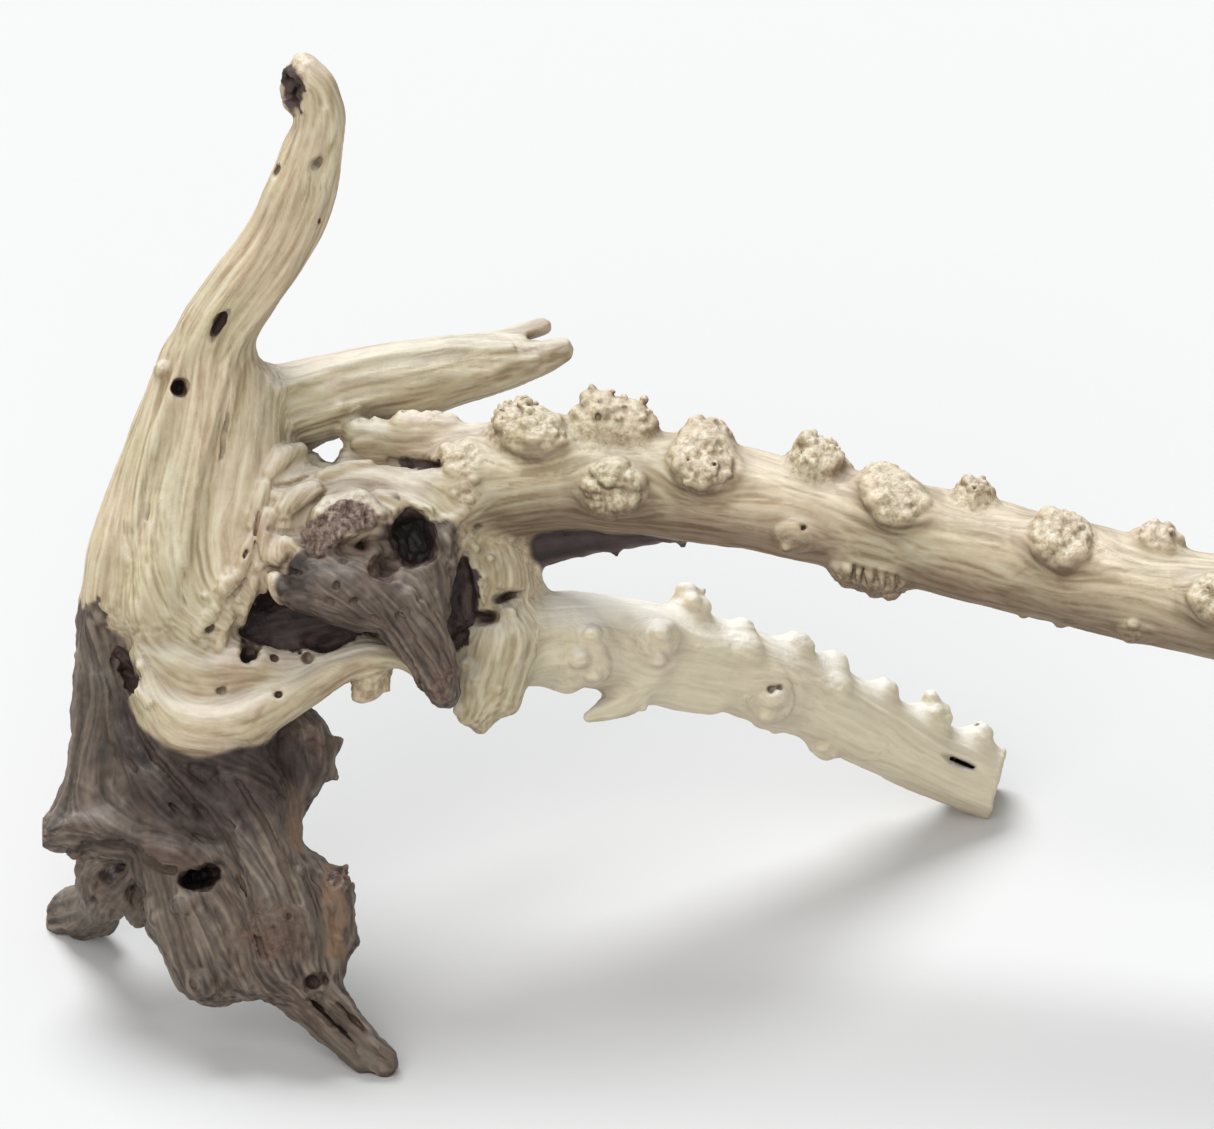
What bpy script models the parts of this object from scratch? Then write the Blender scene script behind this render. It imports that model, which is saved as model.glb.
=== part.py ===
"""A piece of spiderwood, standing on its root tail, its left foot and the end of its lower arm.

It is drawn as seen from the front and a little above. A point of the drawing is
(across, up, deep) in millimetres: across runs to the right, up runs up the drawing, and deep
runs away from the viewer. placed() leans the drawing back onto the ground, in metres with +Z up.
The wood is one body: strands of growth, burls and spurs, fused and smoothed, with the rotted
hollows carved out of it.
"""

import math
import random

import bmesh
import bpy
from mathutils import Matrix, Vector

MM = 0.001
LEAN = math.radians(32)  # the drawing looks down on the wood by this much
MIDDLE_ACROSS = 259.6  # of the drawing, over the middle of the wood
MIDDLE_BACK = 118.4  # from the tail's tip back to the middle of the wood
WORN_OFF = 1.0  # worn flat under each of the three points that it stands on

BODY_VOXEL = 2.0
FINE_VOXEL = 1.3
FILLET = 5.0  # radius of the web that fills the creases between strands
BODY_SMOOTHING = 3
FINE_SMOOTHING = 2
FACES_KEPT = 11400
STEPS_BETWEEN_POINTS = 6

# Each strand of growth is a row of (across, up, deep, radius), root end first.
STRANDS = {
    "upright": [
        (84, 262, 14, 17.5), (84, 284, 10, 17), (87, 297, 6, 16), (95.5, 311, 2, 15),
        (107, 326, -4, 14.6), (114.5, 338, -9, 14.4),
        (120.5, 352, -15, 14), (125, 366.5, -21, 12.2), (128.4, 380, -27, 10), (127.6, 390, -30, 8.4),
        (124.5, 398, -32, 6.4),
        (121.8, 405, -34, 3.8),
    ],
    "upright_broken_tip": [(126, 396, -31, 6), (120.8, 395.5, -31, 8), (118.4, 390, -31, 5)],
    "slab_left": [
        (76, 282, 13, 13), (67, 258, 14, 14.5), (57.6, 234, 14, 13.6), (49.6, 210, 14, 14),
        (46.2, 192, 13, 13.4),
    ],
    "slab_middle": [
        (88, 278, 12, 17), (83, 254, 10, 18), (76, 230, 8, 18), (69, 206, 6, 18), (64, 188, 5, 16),
    ],
    "slab_right": [
        (100, 268, 16, 16), (99, 250, 12, 17), (95, 226, 8, 17), (88, 204, 6, 15), (80, 184, 6, 13),
    ],
    "back_branch": [
        (96, 264, 20, 16), (118, 268, 28, 18), (139, 273.5, 37, 16.6), (160, 277, 46, 16.2),
        (180, 282, 56, 14), (200, 285, 67, 11),
        (214, 287.3, 76, 7.8), (224, 290.4, 82, 5.2),
    ],
    "back_branch_fork": [
        (178, 287, 60, 6), (196, 292.6, 73, 5), (210, 297.6, 86, 4.2), (217, 300.6, 92, 3.4),
    ],
    "lip": [
        (57, 163, 0, 5), (60, 156, -1, 8), (67, 146, -2, 10), (80, 140, -3, 11.6), (96, 142, -3, 11),
        (112, 150.5, -2, 9.4),
        (128, 160, 0, 7.6), (142, 166, 0, 6), (156, 168, 0, 4.6), (165, 164, 0, 3), (171, 156, 0, 2),
    ],
    "lip_face": [
        (62, 168, 3, 8), (72, 164, 2, 11), (84, 160, 1, 12), (98, 164, 1, 11), (110, 163, 2, 8.5),
        (121, 166, 3, 6),
    ],
    "fold": [
        (78, 172, 4, 9), (86, 184, 2, 9.5), (94, 196, 0, 9.5), (102, 208, 0, 9), (108, 220, 1, 9.5),
        (112, 232, 4, 9.5),
        (117, 243, 8, 8),
    ],
    "core": [
        (96, 228, 20, 15), (118, 224, 20, 17), (142, 216, 18, 17), (166, 214, 16, 16),
        (186, 218, 16, 16), (202, 200, 24, 14), (204, 182, 25, 15),
    ],
    "arm_roots_back": [(118, 236, 20, 11), (150, 244, 25, 8), (170, 244, 22, 9), (190, 243, 18, 11)],
    "backing": [
        (46, 188, 28, 12), (66, 178, 28, 16), (88, 176, 28, 17), (112, 182, 28, 16),
        (138, 184, 26, 14.5), (160, 186, 24, 13.5), (186, 184, 24, 12.5),
    ],
    "backing_low": [(60, 168, 26, 14), (90, 164, 24, 15), (116, 164, 20, 10)],
    "upper_arm": [
        (180, 233, 11, 15), (194, 236, 10, 18.5), (209, 238, 8, 20.4), (226, 240.4, 6, 21.2),
        (248, 239, 4, 21), (280, 234.4, 1, 20.6),
        (312, 228.2, -3, 19.6), (340, 221.8, -7, 20.2), (368, 215.6, -11, 20.8),
        (400, 207.8, -15, 20.8), (432, 199.8, -20, 20.6),
        (460, 193.2, -24, 20.4), (486, 187, -28, 20.2), (500, 183.6, -30, 20),
    ],
    "arm_front_root": [
        (113, 192, -6, 6), (112.5, 203, -5, 7.5), (114, 216, -3, 9), (121, 228, 0, 9.6),
        (133, 234.6, 2, 9.2), (148, 236, 2, 8.8),
        (163, 233, 2, 10.5), (180, 231, 3, 14),
    ],
    "arm_back_root": [
        (141, 256, 22, 3), (148, 254.8, 22, 6.2), (160, 253.4, 21, 8), (176, 252, 18, 8.8),
        (194, 249, 14, 12),
    ],
    "stub": [
        (124, 196, -12, 9.5), (130, 196, -14, 12.5), (142, 194, -15, 15.5), (156, 191, -14, 15),
        (166.4, 180, -14, 12.4),
        (173.6, 166, -14, 9.4), (177.8, 154.6, -14, 6.8),
    ],
    "stub_crown": [(126, 213, -8, 6), (132, 219, -8, 8.5), (142, 223, -7, 9), (151, 223, -7, 6.5)],
    "hollow_rim": [(154, 222, -3, 9), (166, 216, -2, 15.5), (171, 204, -4, 12), (176, 192, -6, 8)],
    "flange": [(174, 222, 0, 8), (182, 213, 2, 6), (187, 204, 5, 3.6)],
    "pale_plate": [(196, 210, 14, 7), (199, 200, 13, 10.5), (198, 189, 14, 10), (202, 178, 16, 12)],
    "dark_underside": [
        (192, 214, 20, 9), (206, 211, 22, 8), (222, 213.5, 22, 7.6), (242, 217, 20, 7.2),
        (262, 219, 16, 6), (279, 221, 11, 4.6),
    ],
    "lower_arm": [
        (192, 170, 20, 13), (207, 173.4, 26, 17.2), (224, 175, 34, 18.8), (248, 172.4, 50, 18.8),
        (280, 166.2, 72, 18),
        (304, 159.2, 90, 17.4), (328, 149.4, 109, 16.5), (352, 137.4, 128, 15.8),
        (376, 125.6, 147, 15.2), (400, 115.6, 165, 14.8),
    ],
    "chin_spur": [(200, 170, 14, 13), (196, 157, 13, 11), (192.6, 147, 12, 7.4), (193, 140, 12, 2.8)],
    "chin_left_point": [(189, 156, 8, 6.4), (186.8, 146, 7, 3)],
    "chin_corner": [(201, 157, 14, 7.4), (203.4, 149.4, 14, 4)],
    "under_spur": [
        (256, 159, 50, 8), (252, 152, 48, 6.4), (244, 147.5, 46, 4.6), (235.5, 143.8, 44, 2),
    ],
    "under_ridge": [(262, 156, 58, 7), (272, 152, 64, 6), (284, 149.6, 70, 4.6)],
    "nub_under_lip": [(146, 169, 6, 7), (149, 159, 6, 6.6), (145.2, 152.6, 6, 2.8)],
    "flap_under_lip": [(128, 162, 14, 6), (138, 165.5, 14, 5.4), (146, 166, 12, 5)],
    "root_left": [
        (46, 188, 20, 13), (44.5, 168, 20, 14), (43.8, 150, 19, 14.6), (42.4, 131, 18, 14.4),
        (37.5, 115, 16, 13),
        (28, 102, 14, 9), (21.4, 98, 14, 5.6),
    ],
    "root_middle": [
        (62, 168, 22, 14), (64, 148, 18, 18), (66, 126, 12, 19), (69, 104, 8, 18), (75, 84, 6, 16.5),
        (82, 62, 6, 17), (88.5, 44, 6, 16.4),
    ],
    "root_right": [
        (90, 150, 20, 17), (94, 132, 12, 19), (97, 110, 6, 18.5), (101, 88, 3, 17.5), (111, 65, 0, 19),
        (113, 46, 0, 16.6),
    ],
    "root_edge": [
        (110, 154, 20, 9), (117, 142, 18, 9), (122.5, 132, 16, 11.4), (121, 120, 15, 10),
        (114.6, 108, 13, 8.6), (113.6, 98, 12, 8.6),
        (116.4, 88, 12, 8.6), (129.4, 74, 11, 11.2), (132, 62, 9, 10.8), (128, 48, 6, 10.4),
    ],
    "edge_spur": [(136, 58, 9, 5), (142.6, 54.5, 9, 2)],
    "root_tail": [
        (118, 46, 2, 14), (127, 33, 2, 10.6), (137.5, 21.4, 1, 8.4), (147, 12.4, 1, 7.2),
        (153.4, 6.4, 0, 6.2),
    ],
    "tail_splinter": [(118, 31, 4, 5.4), (127, 22.6, 3, 4.2), (136, 15, 2, 3.4), (143.6, 7, 1, 2.6)],
    "shelf": [(62, 106, 10, 12), (46, 102, 10, 10.4), (32, 98, 12, 8), (23.6, 96.6, 13, 5.4)],
    "ring_left": [(46, 94, 18, 7), (38.6, 87, 20, 6.4), (36.4, 79, 30, 6), (40, 71, 44, 8)],
    "ring_right": [
        (47, 92, 12, 5), (54.6, 89, 12, 5), (55.4, 83, 14, 5.2), (50, 76.5, 20, 5), (44, 72, 36, 7),
    ],
    "foot": [(44, 73, 42, 8.4), (38, 69, 62, 8.8), (32, 66.4, 79, 9.8), (27.6, 65.4, 88, 9.2)],
    "foot_toe": [(41, 61.4, 75, 5), (33, 60.6, 86, 6.4), (25, 60.6, 92, 6.4)],
    "dark_flap": [(66, 80, 20, 8), (58, 70, 26, 7), (55.4, 65, 30, 5)],
    "low_left_lobe": [(70, 84, 10, 12), (68, 70, 10, 12), (74, 54, 10, 10), (80, 42, 10, 9)],
}

# Warty burls: strand, across, up, radius and how far the burl stands out, as a share of its radius.
BURLS = [
    ("arm_back_root", 163, 265, 4.6, 1.0), ("arm_back_root", 173, 268, 4.2, 1.2),
    ("arm_back_root", 180, 266, 3, 1.2),
    ("arm_back_root", 143, 259, 3, 1.0),
    ("upper_arm", 208, 261, 11, 1.2), ("upper_arm", 217, 255, 9.6, 0.9),
    ("upper_arm", 240, 263, 10.5, 1.5), ("upper_arm", 252, 263, 10.5, 1.25),
    ("upper_arm", 282, 256, 10, 0.9), ("upper_arm", 281, 245, 12, 0.6),
    ("upper_arm", 245, 235, 11.4, 0.55),
    ("upper_arm", 327, 248, 10.5, 1.2), ("upper_arm", 353, 237, 10, 0.6),
    ("upper_arm", 358, 229, 10, 0.5),
    ("upper_arm", 389, 233, 7.4, 1.3), ("upper_arm", 424, 214, 12, 0.5),
    ("upper_arm", 461, 213, 9, 1.0),
    ("upper_arm", 484, 191, 8.6, 0.4), ("upper_arm", 317, 216.5, 6.5, 0.45),
    ("upper_arm", 341, 201, 8, 0.7),
    ("upper_arm", 353, 199, 8, 0.8), ("upper_arm", 452, 178, 4, 0.7), ("upper_arm", 185, 245, 9, 0.6),
    ("upper_arm", 186, 233, 6.5, 0.6),
    ("lower_arm", 276, 191, 9, 1.6), ("lower_arm", 264, 175, 8.4, 0.55),
    ("lower_arm", 264, 167, 4, 0.8),
    ("lower_arm", 237, 175, 5, 0.8), ("lower_arm", 236, 164, 8, 0.5),
    ("lower_arm", 297, 178.4, 3.4, 1.2),
    ("lower_arm", 295, 170, 3, 0.8), ("lower_arm", 300, 171, 2.4, 0.8),
    ("lower_arm", 319, 173, 7.2, 0.9),
    ("lower_arm", 334, 165, 5.6, 0.8), ("lower_arm", 335, 155, 4.2, 0.7),
    ("lower_arm", 355, 154, 5.6, 0.9),
    ("lower_arm", 375, 146, 8.4, 1.0), ("lower_arm", 394, 137, 6, 1.2),
    ("lower_arm", 309, 150, 8.4, 0.4),
    ("lower_arm", 330, 130, 4, 0.7), ("lower_arm", 226, 157, 3, 0.6),
    ("stub_crown", 134, 222, 8.5, 0.5), ("stub_crown", 143, 226, 7, 0.5),
]

# Burls on the far side follow a rule: strand, first and last share of its length, how many.
FAR_BURL_ROWS = [("upper_arm", 0.14, 0.95, 9), ("lower_arm", 0.2, 0.92, 6)]
FAR_BURL_SEED = 41

# Hollows: across, up, deep, half sizes in those directions, and the turn in the drawing in degrees.
HOLLOWS = {
    "stub_hollow": [(165, 215, -18, 10.5, 13, 19, 8), (155, 204.5, -28, 6.5, 6.5, 12, -35)],
    "slit_between_arm_roots": [(167, 244.6, -2, 10, 2.6, 13, -4)],
    "gap_over_fold": [(132.6, 249, 12, 4.4, 3.8, 36, 30)],
    "gap_behind_fold": [
        (110, 186, -3, 8, 9, 12, -20), (122, 176, -2, 11, 4.5, 10, 8), (101, 172, -4, 4, 8, 9, -25),
    ],
    "crack_beside_stub": [(184, 192, -4, 3.6, 17, 13, -9)],
    "chin_holes": [(203, 191.5, 2, 6, 2.2, 10, 22), (193, 183, 2, 6.5, 2.4, 10, 8)],
    "gap_under_slab": [(51.6, 162, 0, 4, 10, 12, 24)],
    "root_hollow": [(81, 80, -8, 8.5, 4.8, 20, 12)],
    "root_side_hollow": [(54.6, 70, 10, 4.6, 7.5, 13, 5)],
    "ring_hole": [(46.4, 82, 16, 6, 2.6, 22, 32)],
    "shelf_hollow": [(46, 92.6, -2, 12, 3.6, 7, -8)],
    "tail_cracks": [
        (134, 22, -8, 15, 1.3, 8, -45), (141, 24, -8, 11, 1.2, 6, -47), (126, 38, -14, 3, 3, 7, 0),
    ],
    "upright_hollows": [
        (88, 300, -8, 2.4, 6, 8, -28), (72, 275, -2, 2.8, 3.6, 10, -10), (127, 364, -30, 2, 4, 6, -35),
    ],
    "tip_hollow": [(116.6, 392, -38, 5.6, 9, 9, 10)],
    "fork_gap": [(217, 295.4, 86, 8, 1.3, 24, 6)],
    "sawn_end_crack": [(387, 125, 140, 9, 1.0, 12, -22)],
}

# Flat faces left by the saw: across, up, deep of the face, and how it is turned in the drawing.
SAWN_ENDS = [(400.5, 116, 165, -14), (498, 184, -30, -13)]
SAW_BLOCK = 60.0


def placed(across, up, deep):
    """A point of the drawing, in metres, with the ground at zero height."""
    back = up * math.sin(LEAN) + deep * math.cos(LEAN)
    height = up * math.cos(LEAN) - deep * math.sin(LEAN) - WORN_OFF
    return Vector((across - MIDDLE_ACROSS, back - MIDDLE_BACK, height)) * MM


def drawing_axes():
    """The directions across, up and toward the viewer of the drawing, as a rotation."""
    start = placed(0, 0, 0)
    axes = [(placed(*step) - start).normalized() for step in ((1, 0, 0), (0, 1, 0), (0, 0, -1))]
    return Matrix(axes).transposed().to_4x4()


def clear_scene():
    for obj in list(bpy.data.objects):
        bpy.data.objects.remove(obj)


def smooth_row(row, steps=STEPS_BETWEEN_POINTS):
    """The row with points added between its own, on a curve that passes through them."""
    rows = [Vector(p) for p in row]
    ends = [rows[0] * 2 - rows[1], *rows, rows[-1] * 2 - rows[-2]]
    found = []
    for before, a, b, after in zip(ends, ends[1:], ends[2:], ends[3:]):
        for step in range(steps):
            t = step / steps
            found.append(
                0.5 * (2 * a + (b - before) * t + (2 * before - 5 * a + 4 * b - after) * t**2
                       + (3 * a - before - 3 * b + after) * t**3)
            )
    found.append(rows[-1])
    return found


def mesh_of(obj):
    """The object's evaluated mesh in world space, welded. The object is removed."""
    graph = bpy.context.evaluated_depsgraph_get()
    mesh = bpy.data.meshes.new_from_object(obj.evaluated_get(graph))
    mesh.transform(obj.matrix_world)
    bpy.data.objects.remove(obj)
    shape = bmesh.new()
    shape.from_mesh(mesh)
    bmesh.ops.remove_doubles(shape, verts=shape.verts, dist=0.01 * MM)
    bmesh.ops.recalc_face_normals(shape, faces=shape.faces)
    shape.to_mesh(mesh)
    shape.free()
    return mesh


def strand_mesh(name, row):
    """A tube along the strand, as thick as the strand at each point."""
    points = smooth_row(row)
    curve = bpy.data.curves.new(name, "CURVE")
    curve.dimensions = "3D"
    curve.bevel_depth = MM
    curve.bevel_resolution = 6
    curve.use_fill_caps = True
    spline = curve.splines.new("POLY")
    spline.points.add(len(points) - 1)
    for target, point in zip(spline.points, points):
        target.co = (*placed(*point[:3]), 1)
        target.radius = point[3]
    tube = bpy.data.objects.new(name, curve)
    bpy.context.scene.collection.objects.link(tube)
    bpy.context.view_layer.update()
    return mesh_of(tube)


def strand_meshes():
    """Each strand's tube, and a ball that rounds each of its ends."""
    level = Matrix.Identity(4)
    for name, row in STRANDS.items():
        yield strand_mesh(name, row)
        for *point, radius in (row[0], row[-1]):
            yield lump_mesh(placed(*point), level, [radius * MM] * 3)


def lump_mesh(centre, turn, half_sizes, subdivisions=3):
    """An ellipsoid, in metres."""
    shape = bmesh.new()
    bmesh.ops.create_icosphere(shape, subdivisions=subdivisions, radius=1)
    shape.transform(Matrix.Translation(centre) @ turn @ Matrix.Diagonal((*half_sizes, 1)))
    mesh = bpy.data.meshes.new("lump")
    shape.to_mesh(mesh)
    shape.free()
    return mesh


def spot_on(strand, across, up):
    """Where a burl seen at (across, up) sits on its strand: the spot and the way out of the wood."""
    points = smooth_row(STRANDS[strand])
    axis = min(points, key=lambda p: math.hypot(p[0] - across, p[1] - up))
    aside = Vector((across - axis[0], up - axis[1]))
    radius = axis[3]
    if aside.length >= radius * 0.96:
        aside = aside.normalized() * radius * 0.96
    toward_viewer = math.sqrt(radius**2 - aside.length_squared)
    spot = placed(axis[0] + aside.x, axis[1] + aside.y, axis[2] - toward_viewer)
    return spot, (spot - placed(*axis[:3])).normalized()


def far_spots():
    """Spots for the burls on the far side of the arms, with their sizes."""
    draw = random.Random(FAR_BURL_SEED)
    for strand, first, last, count in FAR_BURL_ROWS:
        points = smooth_row(STRANDS[strand])
        for i in range(count):
            share = first + (last - first) * (i + draw.uniform(-0.3, 0.3)) / (count - 1)
            point = points[int(min(max(share, 0), 1) * (len(points) - 1))]
            turn = math.radians(draw.uniform(-60, 60))
            out = (placed(0, math.sin(turn), math.cos(turn)) - placed(0, 0, 0)).normalized()
            spot = placed(*point[:3]) + out * point[3] * MM
            yield spot, out, draw.uniform(6, 10.5), draw.uniform(0.5, 0.8)


def burl_meshes(spot, out, radius, stands_out, seed):
    """(swelling, warts) of one burl: a low dome, and round warts spread over it on a spiral."""
    turn = out.to_track_quat("Z", "Y").to_matrix().to_4x4()
    height = radius * stands_out
    dome = lump_mesh(spot, turn, (radius * MM, radius * MM, height * MM))
    draw = random.Random(seed)
    count = max(5, round(radius * 1.6))
    warts = []
    for i in range(count):
        around = i * math.radians(137.5) + draw.uniform(-0.3, 0.3)
        slope = math.radians(12 + 78 * math.sqrt((i + 0.5) / count))
        local = Vector((
            math.sin(slope) * math.cos(around) * radius, math.sin(slope) * math.sin(around) * radius,
            math.cos(slope) * height,
        ))
        size = radius * draw.uniform(0.19, 0.3) * MM
        warts.append(lump_mesh(spot + turn @ (local * 0.94 * MM), turn, (size,) * 3, subdivisions=2))
    return dome, warts


def joined(name, meshes):
    """One object that holds all the meshes."""
    shape = bmesh.new()
    for mesh in meshes:
        shape.from_mesh(mesh)
    mesh = bpy.data.meshes.new(name)
    shape.to_mesh(mesh)
    shape.free()
    obj = bpy.data.objects.new(name, mesh)
    bpy.context.scene.collection.objects.link(obj)
    return obj


def fuse(obj, voxel):
    """Turns overlapping bodies into one skin."""
    remesh = obj.modifiers.new("fuse", "REMESH")
    remesh.mode = "VOXEL"
    remesh.voxel_size = voxel * MM


def soften(obj, times):
    smooth = obj.modifiers.new("soften", "SMOOTH")
    smooth.factor = 0.5
    smooth.iterations = times


def fill_creases(obj, radius):
    """Grows the skin and draws it back, which leaves a fillet in each crease."""
    for step in (radius, -radius):
        move = obj.modifiers.new("grow", "DISPLACE")
        move.mid_level = 0
        move.strength = step * MM
        fuse(obj, BODY_VOXEL)


def carve(obj, meshes):
    """Cuts the bodies out of the wood."""
    cutter = joined("hollows", meshes)
    remesh = cutter.modifiers.new("fuse", "REMESH")
    remesh.mode = "VOXEL"
    remesh.voxel_size = 0.6 * MM
    cutter = joined("hollow_cutter", [mesh_of(cutter)])
    cutter.hide_render = True
    cutter.display_type = "WIRE"
    cut = obj.modifiers.new("hollows", "BOOLEAN")
    cut.operation = "DIFFERENCE"
    cut.object = cutter
    return cutter


def hollow_meshes():
    axes = drawing_axes()
    for rows in HOLLOWS.values():
        for across, up, deep, *half_sizes, turn in rows:
            turned = axes @ Matrix.Rotation(math.radians(turn), 4, "Z")
            yield lump_mesh(placed(across, up, deep), turned, [half * MM for half in half_sizes])


def block(name, centre, turn, half):
    """A cube whose middle is at centre."""
    shape = bmesh.new()
    bmesh.ops.create_cube(shape, size=2 * half * MM)
    shape.transform(Matrix.Translation(centre) @ turn)
    mesh = bpy.data.meshes.new(name)
    shape.to_mesh(mesh)
    shape.free()
    obj = bpy.data.objects.new(name, mesh)
    bpy.context.scene.collection.objects.link(obj)
    obj.hide_render = True
    obj.display_type = "WIRE"
    return obj


def saw(obj, cutter):
    cut = obj.modifiers.new(cutter.name, "BOOLEAN")
    cut.operation = "DIFFERENCE"
    cut.object = cutter


def wood_material():
    material = bpy.data.materials.new("bleached_wood")
    material.use_nodes = True
    shader = material.node_tree.nodes["Principled BSDF"]
    shader.inputs["Base Color"].default_value = (0.62, 0.52, 0.36, 1)
    shader.inputs["Roughness"].default_value = 0.6
    shader.inputs["Metallic"].default_value = 0
    return material


def main():
    clear_scene()
    burls = [
        (*spot_on(strand, across, up), radius, stands) for strand, across, up, radius, stands in BURLS
    ]
    burls += list(far_spots())
    domes, warts = [], []
    for seed, burl in enumerate(burls):
        dome, own_warts = burl_meshes(*burl, seed)
        domes.append(dome)
        warts += own_warts

    body = joined("body", list(strand_meshes()))
    fuse(body, BODY_VOXEL)
    fill_creases(body, FILLET)
    soften(body, BODY_SMOOTHING)
    carved = joined("carved", [mesh_of(body), *domes, *warts])
    fuse(carved, FINE_VOXEL)
    cutter = carve(carved, list(hollow_meshes()))
    wood = joined("spiderwood", [mesh_of(carved)])
    bpy.data.objects.remove(cutter)

    fuse(wood, FINE_VOXEL)
    soften(wood, FINE_SMOOTHING)
    thin = wood.modifiers.new("fewer_faces", "DECIMATE")
    wood.data.materials.append(wood_material())
    bpy.context.view_layer.update()
    graph = bpy.context.evaluated_depsgraph_get()
    faces = sum(len(p.vertices) - 2 for p in wood.evaluated_get(graph).data.polygons)
    thin.ratio = FACES_KEPT / faces
    axes = drawing_axes()
    for i, (across, up, deep, turn) in enumerate(SAWN_ENDS):
        turned = axes @ Matrix.Rotation(math.radians(turn), 4, "Z")
        beyond = placed(across, up, deep) + turned.to_3x3() @ Vector((SAW_BLOCK * MM, 0, 0))
        saw(wood, block(f"saw_{i}", beyond, turned, SAW_BLOCK))
    ground = block("ground", Vector((0, 0, -0.4)), Matrix.Identity(4), 400)
    saw(wood, ground)
    wood.data.shade_smooth()


main()
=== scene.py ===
"""Looks of the piece of spiderwood: pale, grooved wood with warty burls and a grey root, with some light and
shade painted into its colour.

The wood is drawn as seen from the front and a little above. A point of the drawing is
(across, up, deep) in millimetres, as in the part's source. The strands of growth and the burls
are blended in a field of distances, the hollows are carved out of it, and its skin becomes the
mesh. The grain is traced along the strands and round the burls, and stored at each vertex.
"""

import math
import random

import bpy
import numpy as np
import openvdb
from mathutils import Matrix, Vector


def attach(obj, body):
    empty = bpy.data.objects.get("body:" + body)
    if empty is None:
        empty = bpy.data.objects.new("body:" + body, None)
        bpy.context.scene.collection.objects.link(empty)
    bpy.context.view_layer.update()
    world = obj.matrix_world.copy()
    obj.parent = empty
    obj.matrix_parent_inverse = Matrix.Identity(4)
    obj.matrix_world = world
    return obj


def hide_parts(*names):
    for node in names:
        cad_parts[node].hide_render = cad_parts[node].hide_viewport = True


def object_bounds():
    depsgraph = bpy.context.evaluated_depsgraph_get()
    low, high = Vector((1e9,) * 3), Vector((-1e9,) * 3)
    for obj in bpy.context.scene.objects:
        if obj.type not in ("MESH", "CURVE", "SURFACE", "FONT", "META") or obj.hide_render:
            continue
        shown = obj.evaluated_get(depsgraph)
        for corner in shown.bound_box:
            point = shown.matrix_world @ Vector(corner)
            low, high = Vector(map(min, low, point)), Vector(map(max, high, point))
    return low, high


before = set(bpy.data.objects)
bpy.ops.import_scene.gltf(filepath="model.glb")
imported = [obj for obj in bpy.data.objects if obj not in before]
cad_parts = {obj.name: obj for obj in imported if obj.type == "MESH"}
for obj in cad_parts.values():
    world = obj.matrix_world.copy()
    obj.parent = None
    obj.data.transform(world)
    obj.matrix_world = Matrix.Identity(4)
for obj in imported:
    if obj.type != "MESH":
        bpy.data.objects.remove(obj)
cad_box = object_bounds()

MM = 0.001
LEAN = math.radians(32)  # the drawing looks down on the wood by this much
MIDDLE_ACROSS = 259.6
MIDDLE_BACK = 118.4
WORN_OFF = 1.0

PIXEL = 0.4  # millimetres of the drawing for each pixel of the photograph's 1214 by 1129 frame
FRAME_WIDTH = 1214 * PIXEL
VIEW_CENTRE = (607 * PIXEL, (1076 - 564.5) * PIXEL, 40.0)
CAMERA_DISTANCE = 12.0
SENSOR = 36.0

VOXEL = 0.85
FLOW_CELL = 3.0
FIELD_LOW = np.array((4.0, -8.0, -78.0))
FIELD_HIGH = np.array((508.0, 418.0, 196.0))
FAR = 9.0  # distance given to whatever is farther than this from the wood
STEPS_BETWEEN_POINTS = 5

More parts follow.
